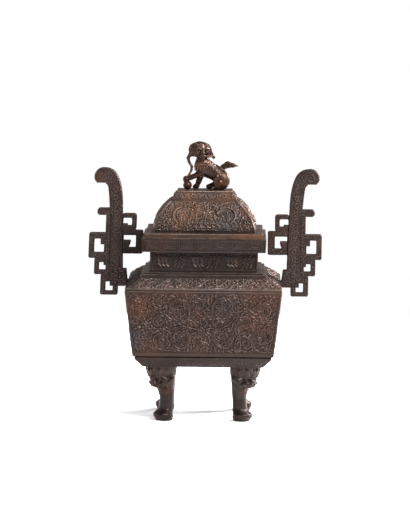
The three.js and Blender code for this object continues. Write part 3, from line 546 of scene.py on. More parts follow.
def wallArt(side):
    # a lotus between big scrolls; the other sides take the front's right half and its mirror image
    length = (wall["foot"][0] + wall["top"][0]) / 2 - trimOf(side) - wall["border"][0]
    art = newArt(2 * (length + 8), wallHeight)
    turned = [(-u, v, radius, math.pi - start, -hand, turns, barbs)
              for u, v, radius, start, hand, turns, barbs in plainScrolls]
    chosen = frontScrolls if side == "front" else plainScrolls + turned
    lotus(art, -3, 0.41 * wallHeight, 0.22 * wallHeight)
    lotus(art, -3, 0.62 * wallHeight, 0.1 * wallHeight, count=9, spread=5.4, half=0.8)
    for u, v, radius, start, hand, turns, barbs in chosen:
        scroll(art, u * length, v * wallHeight, radius, start, hand, turns, wall["ribHalf"], barbs)
    for knots in wallStems:
        for turn in ((1,) if side == "front" else (1, -1)):
            stemLine(art, [(turn * a * length, b * wallHeight) for a, b in knots])
    eyes = np.array([(s[0] * length, s[1] * wallHeight, s[4]) for s in chosen])

    def flow(u, v):
        # leaves turn round the nearest scroll, to its own hand
        k = np.argmin(np.hypot(eyes[:, 0] - u, eyes[:, 1] - v))
        return math.atan2(v - eyes[k, 1], u - eyes[k, 0]) + eyes[k, 2] * 1.35

    fillGaps(art, flow, pitch=4.1, length=8.5, half=1.15, crest=0.75)
    finishArt(art)
    return art


wallArts = {side: wallArt(side) for side in outward}
print("drew the scrollwork of the walls")


def wallRelief(side, u, v, half, height):
    # a sunk field inside a plain border; the art rises from it, never past the greatest depth of the solid
    inside = insideOf(u, v, half, height, *wall["border"])
    art = readArt(wallArts[side], u, v) * smoothStep(0.2, 2.0, inside)
    rise = -wall["sunk"] * smoothStep(0, 0.9, inside) + wall["relief"] * art
    inset, limit = (0, wall["depthLimit"] + depthStep) if trimOf(side) else (depthStep, wall["depthLimit"])
    room = limit - (wall["foot"][0] - inset + (wall["top"][0] - wall["foot"][0]) * v / height)
    shade = readArt(wallArts[side], u, v, "shade")
    # painted shade along the step down from the border into the sunk field
    plain = 0.5 - 0.45 * smoothStep(-1.5, -0.5, inside)
    return np.minimum(rise, np.maximum(room, 0)), np.where(inside > 0, shade, plain)


for side, cell in wall["cell"].items():
    outer = dense([wall["foot"], wall["top"]], cell)
    inner = [(half - wall["thick"], z) for half, z in (wall["top"], wall["foot"])]
    profile = np.concatenate([outer, inner])
    shell = rectShell(profile, [(0, len(outer) - 1, wallRelief)], [side], {side: cell}, True)
    makePiece("wall_" + side, "body", metal["wall"], *shell)


def sideCells(cell):
    # finest at the front, coarser round the sides and the back
    return {"front": cell, "right": 1.5 * cell, "left": 1.5 * cell, "back": 1.8 * cell}


floorPlate = {"underside": (100.2, 102.25), "top": (100.6, 106.7), "cell": 40}
profile = [floorPlate["underside"], floorPlate["top"]]
shell = rectShell(profile, [], list(outward), dict.fromkeys(outward, floorPlate["cell"]), False)
makePiece("vessel_floor", "body", metal["neck"], *shell)


upper = {
    "cell": 0.95, "corner": 0.45, "shoulderBorder": (2.2, 2.2, 1.0), "shoulderRelief": 1.6,
    "neckBorder": (3, 2.5, 1.5), "neckSunk": 1.2, "strokeHalf": 1.45, "strokeHeight": 1.3,
    "strokeMiddles": (-61.5, -36.5, -9.5, 14, 41, 65.5), "strokeRow": 6.2, "strokeLength": 6.6,
    "rimBorder": (1.5, 1.8, 1.6), "fretPitch": 25.2, "fretWidth": 17, "fretRise": 13.4, "fretHalf": 0.85,
    "fretDepth": 0.8,
}
upperProfile = [  # each stretch is named for the corner where it starts: half width, z
    ("seam", 115.4, 198.9), ("groove", 113.8, 200.9), ("shoulderEdge", 115.2, 203.3),
    ("shoulderTop", 92.7, 217.7), ("stepTwoFoot", 90.6, 217.7), ("stepTwo", 90.6, 221.9),
    ("stepOneFoot", 86.3, 221.9), ("stepOne", 86.3, 224.7), ("neckFoot", 79.7, 224.7),
    ("neckTop", 79.7, 255.1), ("rimUnderside", 91.0, 255.1), ("rimTop", 91.8, 274.3), ("mouth", 75.7, 274.3),
    ("mouthFoot", 75.7, 220.7), ("innerShoulder", 88.7, 213.7), ("innerSeam", 111.4, 198.9),
]


def outlineRows(outline, spacing, radius, plain=6.0, fine=()):
    # Rows of the profile: each corner gives way to one point between its two cuts, halfway to the corner.
    # Stretches named in fine get rows at spacing, the rest at plain; marks holds their first and last rows.
    corners = np.array([(half, z) for name, half, z in outline])
    final = len(corners) - 2
    spans = []
    for k, (a, b) in enumerate(zip(corners[:-1], corners[1:])):
        length = np.hypot(*(b - a))
        cut = (b - a) / length * min(radius, 0.3 * length)
        spans.append((a if k == 0 else a + cut, b if k == final else b - cut))
    rows, marks = [], {}
    for k, (start, end) in enumerate(spans):
        name = outline[k][0]
        count = max(1, math.ceil(np.hypot(*(end - start)) / (spacing if name in fine else plain)))
        marks[name] = (len(rows), len(rows) + count)
        rows.extend(start + (end - start) * t for t in np.linspace(0, 1, count + 1))
        if k < final:
            rows.append(0.25 * end + 0.5 * corners[k + 1] + 0.25 * spans[k + 1][0])
    return np.array(rows), marks


carved = ("shoulderEdge", "neckFoot", "rimUnderside")
rows, marks = outlineRows(upperProfile, upper["cell"], upper["corner"], fine=carved)
(edgeHalf, edgeZ), (topHalf, topZ) = (upperProfile[k][1:] for k in (2, 3))
shoulderHeight = math.hypot(edgeHalf - topHalf, topZ - edgeZ)


def shoulderArt(side):
    # a row of curled rosettes with crossed leaves between them, and a stem that swings along the row
    trim = trimOf(side)
    length = 112 - trim
    art = newArt(2 * length + 6, shoulderHeight)
    foot, top = upper["shoulderBorder"][1], shoulderHeight - upper["shoulderBorder"][2]
    middle, swing = (foot + top) / 2, (top - foot) * 0.3
    bends = 15 if trim == 0 else 13
    u = np.linspace(-length, length, 220)
    stamp(art, np.stack([u, middle + swing * np.sin(u / length * np.pi * bends / 2)], 1), 1.2, crest=0.8)
    for k in range(bends):
        centre = (k + 0.5 - bends / 2) * 2 * length / bends
        hand = 1 if k % 2 else -1
        if k % 2 == 0:
            curl(art, centre, middle, 5.6, -hand * 1.2, hand, turns=1.0, eye=0.25, count=18,
                 halves=(1.6, 1.0))
            for j in range(6):
                angle = 1.05 * j + 0.3
                leaf(art, centre + 6.6 * math.cos(angle), middle + 6.0 * math.sin(angle), angle + hand * 0.6,
                     6.0, bend=hand, half=1.5, crest=0.95, vein=0.3)
        else:
            for slant in (0.75, -0.75, math.pi - 0.75, math.pi + 0.75):
                bent = 0.5 * math.copysign(1, math.sin(slant))
                leaf(art, centre, middle, slant, 8.5, bend=bent, half=1.7, crest=1.0, vein=0.4)
    fillGaps(art, anyWay, pitch=4.4, length=6.5, half=1.2, crest=0.75)
    finishArt(art)
    return art


shoulderArts = {side: shoulderArt(side) for side in outward}


def shoulderRelief(side, u, v, half, height):
    # the rosettes stand on a ground sunk by an eighth of their height, inside a plain border
    inside = insideOf(u, v, half, height, *upper["shoulderBorder"])
    art = readArt(shoulderArts[side], u, v) * smoothStep(0, 1.4, inside)
    rise = upper["shoulderRelief"] * (art - 0.12 * smoothStep(0, 1, inside))
    return rise, np.where(inside > 0, 0.06 + 1.05 * readArt(shoulderArts[side], u, v, "shade"), 0.55)


def neckArt():
    # six places, each three rows of three parallel slanted dashes: strokes only, no letters
    art = newArt(176, 30.4)
    row, length, half = upper["strokeRow"], upper["strokeLength"], upper["strokeHalf"]
    for place, middle in enumerate(upper["strokeMiddles"]):
        lean = 1 if place % 2 else -1
        for j in range(3):
            for k in range(3):
                a = middle + (k - 1) * 5.6 + 1.2 * lean * (j - 1) + rng.uniform(-0.5, 0.5)
                b = 15.0 + (j - 1) * row + rng.uniform(-0.5, 0.5)
                turn = lean * (0.75 + 0.3 * ((j + place) % 2)) + rng.uniform(-0.2, 0.2)
                reach = 0.5 * length * rng.uniform(0.7, 1.1)
                du, dv = reach * math.cos(turn), reach * math.sin(turn)
                stamp(art, np.array([[a - du, b - dv], [a + du, b + dv]]), (half, 0.7 * half))
    fillGaps(art, anyWay, pitch=4.6, length=3.5, half=0.8, crest=0.25)
    finishArt(art, reach=7, gain=1.25, middle=0.2)
    return art


strokes = neckArt()


def neckRelief(side, u, v, half, height):
    # the sunk panel with its frame, the stroke rows on the front, a raised line near the foot with a painted
    # highlight, and painted shadow under the rim
    inside = insideOf(u, v, half, height, *upper["neckBorder"])
    rise = -upper["neckSunk"] * smoothStep(0, 0.8, inside)
    written = smoothStep(0, 1, inside) * (side == "front")
    art = readArt(strokes, u, v) * written
    shade = 0.3 + (readArt(strokes, u, v, "shade") - 0.3) * written
    line = np.exp(-((v - 4.2) / 0.5) ** 2) * smoothStep(-1, 0, inside)
    # painted shadow cast by the rim, darkest at the top of the neck
    rimShadow = smoothStep(0.5, 0.92, v / height)
    return rise + upper["strokeHeight"] * art + 0.35 * line, (0.85 * shade + 0.2 * line) * (1 - 0.9 * rimShadow)


def fretArt(side):
    # squared spirals in a row, every second one mirrored, with two bars between neighbours
    trim = trimOf(side)
    art = newArt(2 * (92 - trim), 19.2)
    pitch, width, rise, half = (upper[k] for k in ("fretPitch", "fretWidth", "fretRise", "fretHalf"))
    count = int((2 * (90.5 - trim)) // pitch)
    pace, centreV = 2.5, 9.6  # between two turns, and the height of the row's middle
    for k in range(count):
        middle, hand = (k - (count - 1) / 2) * pitch, 1 if k % 2 else -1
        turns = [(0, 0), (0, rise), (width, rise), (width, pace), (pace, pace), (pace, rise - pace),
                 (width - pace, rise - pace), (width - pace, 2 * pace), (2 * pace, 2 * pace),
                 (2 * pace, rise - 2 * pace), (width - 2 * pace, rise - 2 * pace)]
        line = np.array([[middle + hand * (x - width / 2), centreV + y - rise / 2] for x, y in turns])
        stamp(art, line, half)
        for share in (0.32, 0.68):
            upright = middle + (width + (pitch - width) * 2 * share) / 2
            stamp(art, np.array([[upright, centreV - rise / 2], [upright, centreV + rise / 2]]), half)
    finishArt(art)
    return art


fretArts = {side: fretArt(side) for side in outward}


def rimRelief(side, u, v, half, height):
    # the fret stands level with the rim on a sunk ground, with painted shade in a band under the rim's top
    # edge, where the lid sits on it
    inside = insideOf(u, v, half, height, *upper["rimBorder"])
    field = smoothStep(0, 0.7, inside)
    art = readArt(fretArts[side], u, v) * field
    # painted shade under the rim's top edge
    shade = np.where(inside > 0, 0.02 + 0.68 * art, 0.38) * smoothStep(-0.2, 1.5, height - v)
    return upper["fretDepth"] * (art - field), shade


zones = [(*marks["shoulderEdge"], shoulderRelief), (*marks["neckFoot"], neckRelief),
         (*marks["rimUnderside"], rimRelief)]
shell = rectShell(rows, zones, list(outward), sideCells(upper["cell"]), True)
makePiece("shoulder_neck_rim", "body", metal["neck"], *shell)


lid = {
    "cell": 0.8, "domeFoot": (76.1, 283.0), "domeTop": (48.9, 326.9), "fullness": 0.85, "wall": 5.0,
    "border": 4.2, "borderHeight": 1.2, "relief": 1.7, "tierBorder": (1.4, 0.6, 0.6), "gilt": 0.9,
}


def domeCurve(count, inward=0.0):
    # half width = top + (foot - top) * sin(quarter turn)^fullness, from the foot up
    t = np.linspace(1, 0, count)
    (footHalf, footZ), (topHalf, topZ) = lid["domeFoot"], lid["domeTop"]
    half = topHalf + (footHalf - topHalf) * np.sin(np.pi / 2 * t) ** lid["fullness"]
    return np.stack([half - inward, topZ + (footZ - topZ) * t], 1)


curve = domeCurve(400)
lengths = np.concatenate([[0], np.cumsum(np.hypot(*np.diff(curve, axis=0).T))])
domeHeight = lengths[-1]
even = np.linspace(0, domeHeight, math.ceil(domeHeight / lid["cell"]) + 1)
dome = np.stack([np.interp(even, lengths, curve[:, 0]), np.interp(even, lengths, curve[:, 1])], 1)
inner = domeCurve(7, lid["wall"])[::-1]
lip = [(71.1, 274.6), (71.1, 268.6), (74.9, 268.6), (74.9, 274.6), (87.7, 274.6), (88.1, 275.0)]
flange = dense(roundCorners([(88.1, 274.6), (87.0, 281.8), (76.1, 283.0)], 0.8), 3.0)[1:-1]
tier = dense([(47.9, 329.9), (42.3, 338.0)], 0.6)
lidRows = np.concatenate([
    [(35.8, 337.2), (43.9, 325.9)], inner, lip, flange, dome, [(48.6, 327.6), (48.0, 329.3)], tier,
    [(41.6, 339.3), (41.2, 340.7), (40.7, 341.15), (39.9, 341.2)]])
domeFirst = 2 + len(inner) + len(lip) + len(flange)
tierFirst = domeFirst + len(dome) + 2


def domeArt(side):
    # a lotus between paired scrolls, two broad stems round the greatest pair, and leaves in the gaps
    foot = 76 - trimOf(side)
    art = newArt(2 * foot + 4, domeHeight)
    lotus(art, 0, 0.44 * domeHeight, 0.22 * domeHeight, count=11, half=0.9)
    # across and up in shares of the face, radius, start angle, half width of the rib, barbs
    pairs = [(0.42, 0.47, 13.5, 2.8, 2.0, 10), (0.78, 0.26, 7.0, 2.2, 1.5, 6),
             (0.16, 0.84, 6.0, 1.2, 1.5, 6), (0.1, 0.14, 5.0, 0.4, 1.5, 6)]
    for u, v, radius, start, half, barbs in pairs:
        for hand in (-1, 1):
            begin = start if hand < 0 else math.pi - start
            scroll(art, -hand * u * foot, v * domeHeight, radius, begin, hand, 0.62, half, barbs)

    def flow(u, v):
        # leaves turn round the eye of the greatest scroll on their own half
        return math.atan2(v - 0.46 * domeHeight, u - math.copysign(0.42 * foot, u)) + 1.3

    for hand in (-1, 1):
        begin = 2.2 if hand < 0 else 0.94
        stem = arcPath(-hand * 0.42 * foot, 0.47 * domeHeight, 15.0, begin, hand, turns=0.5, eye=0.9)
        stamp(art, stem, 1.7, crest=1.25)
    offshoot = np.array([(u * foot, v * domeHeight) for u, v in ((0.46, 0.93), (0.3, 0.82), (0.17, 0.68))])
    stamp(art, offshoot, 1.2, crest=1.2)
    fillGaps(art, flow, pitch=4.0, length=7.5, half=1.1, crest=0.65)
    finishArt(art, reach=5, gain=1.05, middle=0.42)
    return art


domeArts = {side: domeArt(side) for side in outward}


def domeRelief(side, u, v, half, height):
    # a plain raised border follows the mitred ridges; the art fills the face between
    edge = half - np.abs(u)
    inside = insideOf(u, v, half, height, lid["border"], 1.8, 1.6)
    art = readArt(domeArts[side], u, v) * smoothStep(0, 1.2, inside)
    bead = lid["borderHeight"] * smoothStep(0.2, 1.2, edge) * smoothStep(0, -1.0, edge - lid["border"])
    shade = readArt(domeArts[side], u, v, "shade")
    rise = lid["relief"] * art + bead - 0.2 * smoothStep(0, 1, inside)
    return rise, np.where(inside > 0, shade, 0.22 + 0.34 * bead)


tierArt = newArt(100, 9.9)
for k in range(-5, 6):  # small curls, turned up and down in turn
    hand = 1 if k % 2 else -1
    curl(tierArt, k * 8.6, 4.9, 3.3, hand * 1.2, hand, turns=1.0, eye=0.2, count=14, halves=(1.1, 0.7))
    leaf(tierArt, k * 8.6 + 3.4, 4.9 - hand * 2, hand * 0.5, 5.5, bend=hand, half=1.1)
fillGaps(tierArt, anyWay, pitch=3.0, length=5, half=1.0, crest=0.9)
finishArt(tierArt)


def tierRelief(side, u, v, half, height):
    # the curls, 1 mm high, inside a plain border
    inside = insideOf(u, v, half, height, *lid["tierBorder"])
    art = readArt(tierArt, u, v) * smoothStep(0, 0.9, inside)
    return art, np.where(inside > 0, 0.8 * readArt(tierArt, u, v, "shade"), 0.36)


zones = [(domeFirst, domeFirst + len(dome) - 1, domeRelief),
         (tierFirst, tierFirst + len(tier) - 1, tierRelief)]
shell = rectShell(lidRows, zones, list(outward), sideCells(lid["cell"]), False, edge=0.25)
# the flange is rubbed golden, more so to the right
gilt = smoothStep(275.2, 276.5, shell[0][:, 2]) * smoothStep(282.2, 281.4, shell[0][:, 2])
gilt *= lid["gilt"] * (0.1 + 0.9 * smoothStep(-40, 85, shell[0][:, 0]))
makePiece("lid_dome", "lid", metal["lid"], *shell, tint=gilt)


base = {
    "cell": 0.9, "plainCell": 1.1, "underside": (89.0, 84.2), "edge": (100.6, 96.6), "top": (101.6, 100.0),
    "border": (4, 2.5, 4.2), "relief": 0.9,
}
slope = dense([base["underside"], base["edge"], base["top"]], base["cell"])
baseArt = newArt(210, np.hypot(*np.diff(slope, axis=0).T).sum())
for k in range(-9, 10):  # a row of curls, each a little out of its place
    hand = 1 if k % 2 else -1
    middle = k * 11 + rng.uniform(-1.5, 1.5)
    curl(baseArt, middle, 9.5, 4.4, hand * 1.2, hand, turns=1.0, eye=0.25, count=14, halves=(1.2, 0.8))
    leaf(baseArt, middle + 4.5, 9.5 - hand * 2.4, hand * 0.6, 7, bend=hand, half=1.2)
fillGaps(baseArt, anyWay, pitch=4.2, length=7, half=1.1, crest=0.8)
finishArt(baseArt)


def baseRelief(side, u, v, half, height):
    # the curls inside a fine groove
    inside = insideOf(u, v, half, height, *base["border"])
    art = readArt(baseArt, u, v) * smoothStep(0, 1.5, inside)
    groove = -0.35 * np.exp(-((inside / 0.7) ** 2))
    # painted shade in the groove
    return base["relief"] * art + groove, 0.02 + 0.85 * readArt(baseArt, u, v, "shade") + 0.5 * groove


seat = [(101.2, 100.35), (100.6, 100.4), (96.0, 100.4), (96.0, 101.9), (92.0, 101.9), (92.0, 100.0),
        (85.0, 88.7)]
shell = rectShell(np.concatenate([slope, seat]), [(0, len(slope) - 1, baseRelief)], list(outward),
                  dict.fromkeys(outward, base["plainCell"]), False)
makePiece("base_plinth", "base", metal["plinth"], *shell)


def skinField(low, high, cell, distance):
    # Lattice of distances to the form. A cell that the surface crosses gets one point, the mean of where its
    # twelve edges cross, and each crossed lattice edge joins the points of the four cells round it.
    axes = [np.arange(low[k], high[k] + cell, cell) for k in range(3)]
    grid = distance(*np.meshgrid(*axes, indexing="ij"))
    inside = grid < 0
    shape = np.array(grid.shape) - 1
    offsets = np.array([(i, j, k) for i in (0, 1) for j in (0, 1) for k in (0, 1)])
    count = sum(inside[tuple(slice(o[k], o[k] + shape[k]) for k in range(3))].astype(int) for o in offsets)
    cells = np.argwhere((count > 0) & (count < 8))
    number = np.full(shape, -1)
    number[tuple(cells.T)] = np.arange(len(cells))
    total, crossings = np.zeros((len(cells), 3)), np.zeros(len(cells))
    for start in offsets:
        for k in range(3):
            if start[k]:
                continue
            end = start.copy()
            end[k] = 1
            da, db = (grid[tuple((cells + corner).T)] for corner in (start, end))
            crossed = (da < 0) != (db < 0)
            t = np.where(crossed, da / np.where(crossed, da - db, 1), 0)
            total += np.where(crossed[:, None], start + t[:, None] * (end - start), 0)
            crossings += crossed
    points = np.array(low) + cell * (cells + total / crossings[:, None])
    quads = []
    for k in range(3):
        a, b = (k + 1) % 3, (k + 2) % 3
        edge, after = [slice(None)] * 3, [slice(None)] * 3
        edge[k], after[k] = slice(0, -1), slice(1, None)
        at = np.argwhere(inside[tuple(edge)] != inside[tuple(after)])
        at = at[(at[:, a] > 0) & (at[:, b] > 0) & (at[:, a] < shape[a]) & (at[:, b] < shape[b])]
        ring = []
        for da, db in ((-1, -1), (0, -1), (0, 0), (-1, 0)):
            near = at.copy()
            near[:, a] += da
            near[:, b] += db
            ring.append(number[tuple(near.T)])
        quad = np.stack(ring, 1)
        leaving = inside[tuple(at.T)]
        quads.append(np.where(leaving[:, None], quad, quad[:, ::-1]))
    return points, np.concatenate(quads)


def bend(a, b, reach):
    # smooth union of two distances: they blend where they differ by less than reach
    h = np.clip(0.5 + 0.5 * (b - a) / reach, 0, 1)
    return b + (a - b) * h - reach * h * (1 - h)


def ball(p, at, size):
    # distance to an ellipsoid, exact enough near its surface
    q = [(p[k] - at[k]) / size[k] for k in range(3)]
    k0 = np.sqrt(q[0] ** 2 + q[1] ** 2 + q[2] ** 2) + 1e-9
    k1 = np.sqrt(sum((q[k] / size[k]) ** 2 for k in range(3))) + 1e-9
    return k0 * (k0 - 1) / k1


def rod(p, a, b, ra, rb):
    # distance to a straight limb whose radius runs from ra to rb
    d = [b[k] - a[k] for k in range(3)]
    t = np.clip(sum((p[k] - a[k]) * d[k] for k in range(3)) / sum(x * x for x in d), 0, 1)
    return np.sqrt(sum((p[k] - a[k] - t * d[k]) ** 2 for k in range(3))) - (ra + (rb - ra) * t)


def limb(p, path, reach=2.0):
    # a chain of rods; each knot of the path is (x, y, z, radius)
    form = None
    for a, b in zip(path[:-1], path[1:]):
        part = rod(p, a[:3], b[:3], a[3], b[3])
        form = part if form is None else bend(form, part, reach)
    return form


def join(form, p, parts):
    # blends each part into the form: (centre, radii, reach) is a ball, (path, reach along it, reach) a limb
    for where, size, reach in parts:
        part = limb(p, where, size) if isinstance(where, list) else ball(p, where, size)
        form = bend(form, part, reach)
    return form


def paintedShading(points, quads, distance, probe):
    # painted shade in the hollows and painted highlight on the crests: shade = 0.08 + 0.3 * openness^2 +
    # crest, from distances one probe length outside and inside along the normal
    a, b, c, d = (points[quads[:, k]] for k in range(4))
    face = np.cross(c - a, d - b)
    normal = np.zeros_like(points)
    for k in range(4):
        np.add.at(normal, quads[:, k], face)
    normal /= np.linalg.norm(normal, axis=1)[:, None] + 1e-9
    openness = np.clip(distance(*(points + probe * normal).T) / probe, 0, 1)
    crest = np.clip(1 + distance(*(points - probe * normal).T) / probe, 0, 0.6)
    return 0.08 + 0.3 * openness ** 2 + crest


leg = {
    "x": 59.0, "y": 47.0, "cell": 1.0, "top": 87.0, "low": (-24, -24, -0.9), "high": (33, 24, 88),
    "faceRise": 3.6, "hair": 0.42, "probe": 2.2, "sharp": 60,
}
legTable = np.array([  # z, reach, shift along the outward diagonal
    (87.2, 22.6, 5), (73, 21.6, 3.8), (65, 18.3, 0), (53, 15.7, -1.3), (45, 12.7, -5.5), (34, 10.6, -7),
    (17, 11, -5.2), (10.5, 14.8, 0.4), (8.6, 15.0, 0.5), (5, 14.2, -0.7), (0, 12.6, -1.8)])[::-1]
legFace = [  # one half of the mask; the other is its mirror image
    ((13.6, 0, 53.5), (8.2, 11.0, 7.0), 2.0),  # muzzle
    ((18.2, 0, 57.5), (6.2, 5.0, 4.6), 1.6),  # nose
    ((21.8, 3.2, 53.6), (2.9, 2.4, 2.2), 0.8),  # nostril
    ((16.4, 8.8, 60.4), (3.7, 3.5, 3.2), 0.5),  # eye
    # brow
    ([(22.0, 2.4, 62.6, 2.0), (20.6, 8.4, 65.4, 2.4), (15.2, 14.4, 64.8, 1.9), (10, 18, 62, 1.2)], 1.5, 0.7),
    ((14.0, 12.4, 53.6), (3.6, 3.6, 3.2), 0.8),  # cheek
    ([(19.2, 0, 50.4, 2.4), (16.6, 6.5, 50.6, 2.6), (11, 12.0, 53.2, 2.2)], 1.5, 0.8),  # upper lip
    ([(6.0, 17.4, 55.5, 1.8), (1.6, 19.6, 61.0, 3.0), (-2.6, 20.4, 66.0, 1.3)], 1.2, 0.6),  # ear
]
foreheadLock = [(19.5, 64.0, 1.7), (22.6, 69.0, 2.6), (23.4, 75.0, 2.4), (22.0, 80.5, 1.4)]  # out, z, radius
fineZ = np.arange(-6, 96, 0.5)
blur = np.exp(-np.linspace(-2, 2, 9) ** 2)
blur /= blur.sum()


def softened(column):
    # the table's column at every height, as a bell-weighted mean of its neighbourhood
    values = np.interp(fineZ, legTable[:, 0], legTable[:, column])
    return np.convolve(np.pad(values, 4, mode="edge"), blur, "valid")


fineReach, fineShift = softened(1), softened(2)


def legForm(x, y, z):
    # distance to one leg: x is the outward diagonal, y across, z up from the sole; a round shaft by the
    # table, then the mask, the hair and the foot
    shift, reach = np.interp(z, fineZ, fineShift), np.interp(z, fineZ, fineReach)
    form = (np.sqrt((x - shift) ** 2 + y ** 2) - reach) * 0.92
    q = (x, np.abs(y), z - leg["faceRise"])
    form = join(form, q, legFace)
    aroundShaft = np.arctan2(q[1], x - shift) * 21  # millimetres
    strand = np.cos(2 * np.pi * (aroundShaft + 0.035 * (z - 68)) / 3.4 + 0.8 * np.sin(z * 0.35))
    form -= leg["hair"] * strand * smoothStep(66.5, 70.5, z) * smoothStep(86.5, 84.5, z)  # combed hair
    for turn in (0.0, 0.5, 1.0):  # locks that curl up over the forehead
        path = [(r * math.cos(turn + 0.08 * i) + 1.4 * i, 0.9 * r * math.sin(turn + 0.08 * i), h, w)
                for i, (r, h, w) in enumerate(foreheadLock)]
        form = bend(form, limb(q, path, 1.2), 1.6)
    for turn, z0 in ((1.0, 49.5), (1.5, 53.0)):  # beard tips
        a = (14.2 * math.cos(turn) - 1.5, 15.0 * math.sin(turn), z0)
        b = (11.2 * math.cos(turn + 0.15) - 4.0, 12.8 * math.sin(turn + 0.15), z0 - 7)
        form = bend(form, limb(q, [(*a, 1.9), (*b, 0.8)], 1.0), 0.9)
    # a ledge round the foot, with a groove over it
    form += 0.5 * np.exp(-(((z - 8.2) / 0.8) ** 2)) - 0.5 * np.exp(-(((z - 6.0) / 1.2) ** 2))
    return np.maximum(np.maximum(form, -z), z - leg["top"])


legPoints, legQuads = skinField(leg["low"], leg["high"], leg["cell"], legForm)
legPoints[:, 2] = np.clip(legPoints[:, 2], 0, leg["top"])
legShade = paintedShading(legPoints, legQuads, legForm, leg["probe"])
allPoints, allQuads = [], []
for k, turn in enumerate(np.radians((45, 135, 225, 315))):  # the same leg, turned to each corner
    cos, sin = math.cos(turn), math.sin(turn)
    x = legPoints[:, 0] * cos - legPoints[:, 1] * sin + math.copysign(leg["x"], cos)
    y = legPoints[:, 0] * sin + legPoints[:, 1] * cos + math.copysign(leg["y"], sin)
    allPoints.append(np.stack([x, y, legPoints[:, 2]], 1))
    allQuads.append(legQuads + k * len(legPoints))
makePiece("mask_legs", "base", metal["base"], np.concatenate(allPoints), [np.concatenate(allQuads)],
          np.tile(legShade, 4), leg["sharp"])


lion = {
    "foot": 341.5, "cell": 0.66, "low": (-34.5, -25.5, -0.7), "high": (51, 15, 74), "probe": 2.4,
    "light": 0.85, "sharp": 60,
}
# the lion's own frame: x to the tail, y to the back, z up from the soles; parts as join() takes them
lionBack = [(-4, -2, 45, 9.6), (-4, -1, 35, 11.6), (4, 0, 29.5, 11.2), (13, 0, 26, 11.0), (22, 0, 20, 11.6)]
lionLegs = [
    ((24.6, -6.8, 13.6), (12.2, 6.2, 13.4), 1.8), ((24.6, 6.8, 13.6), (12.2, 6.2, 13.4), 1.8),  # haunches
    ([(22, -9.5, 11, 5.2), (18.6, -9.8, 5.0, 4.2), (14.6, -9.8, 3.4, 3.4)], 2.0, 1.0),  # near hind foot
    ([(19, 8.5, 9, 5.2), (8.5, 8.5, 4.2, 4.0), (4.5, 8.5, 3.6, 3.4)], 2.0, 1.2),  # far hind foot
    ([(-2, -6, 27.5, 6.0), (-11, -7, 22.5, 4.4), (-21, -5.5, 18.4, 3.6), (-27.5, -4.5, 16.2, 4.4)], 2.0, 1.4),
    ([(-5, 6, 25, 6.0), (-9.5, 7, 12, 4.0), (-12.5, 7, 4.4, 3.6), (-15.5, 7, 3.4, 3.4)], 2.0, 1.6),
]
lionPaw = [((-29.0, -4.5, 15.8), (4.2, 5.0, 4.6), 1.0)]
for k in (-1, 0, 1):  # toes of the raised paw and of the near hind foot
    lionPaw.append(((-30.6, -4.5 + 3.0 * k, 13.6), (2.2, 1.5, 2.2), 0.5))
    lionPaw.append(((11.6, -9.8 + 2.4 * k, 2.4), (2.4, 1.4, 2.3), 0.6))
lionMane = [  # like a helmet, with flared ends
    ((-9.0, -5.0, 66.0), (7.0, 7.0, 5.6), 3.0), ((-17.4, -4.5, 59.5), (7.6, 9.0, 9.6), 3.0),
    ((2.0, -5.0, 59.5), (7.0, 9.5, 9.0), 3.0),
    ([(3, -8.5, 51.5, 3.4), (8.6, -8.5, 49.8, 3.6), (13.0, -8.0, 48.0, 2.6)], 1.5, 1.5),
    ([(-19, -8, 53.5, 3.4), (-24.0, -8, 51.0, 2.6)], 1.5, 1.5),
]
lionNose = [
    ([(-4.0, -16.0, 67.4, 1.6), (-3.8, -18.6, 62, 1.8), (-3.6, -20.4, 56, 2.4), (-3.6, -20.4, 54.0, 2.8)],
     1.0, 0.8),
    ([(-15, -14.0, 51.2, 1.8), (-3.8, -19.0, 50.9, 2.6), (7.5, -14.0, 50.6, 1.8)], 1.5, 0.8),  # upper lip
]
lionTrim = [
    ([(17.5, -10.5, 19.5, 3.4), (14.5, -11.6, 15.5, 3.0), (15.5, -11.0, 9.0, 2.8)], 1.5, 1.0),  # knee
    ([(-25.6, -7.8, 47.6, 2.6), (-24.0, -8, 41.5, 2.0), (-19.8, -8.6, 34.5, 2.0), (-20.6, -8.4, 29, 1.8),
      (-25.4, -6, 20.0, 1.7)], 1.0, 0.5),  # ribbon
]
lionTail = [(22.6, 0, 27, 3.4), (27, 0, 33.8, 4.0), (33.5, 0, 37.2, 5.0), (41, 0, 36.4, 3.2),
            (49.6, 0, 35.4, 0.6)]
lionBeard = [(-4.5, -12, 48, 4.6), (-4.4, -12.6, 43.5, 3.0), (-4.6, -12.0, 40, 1.4)]


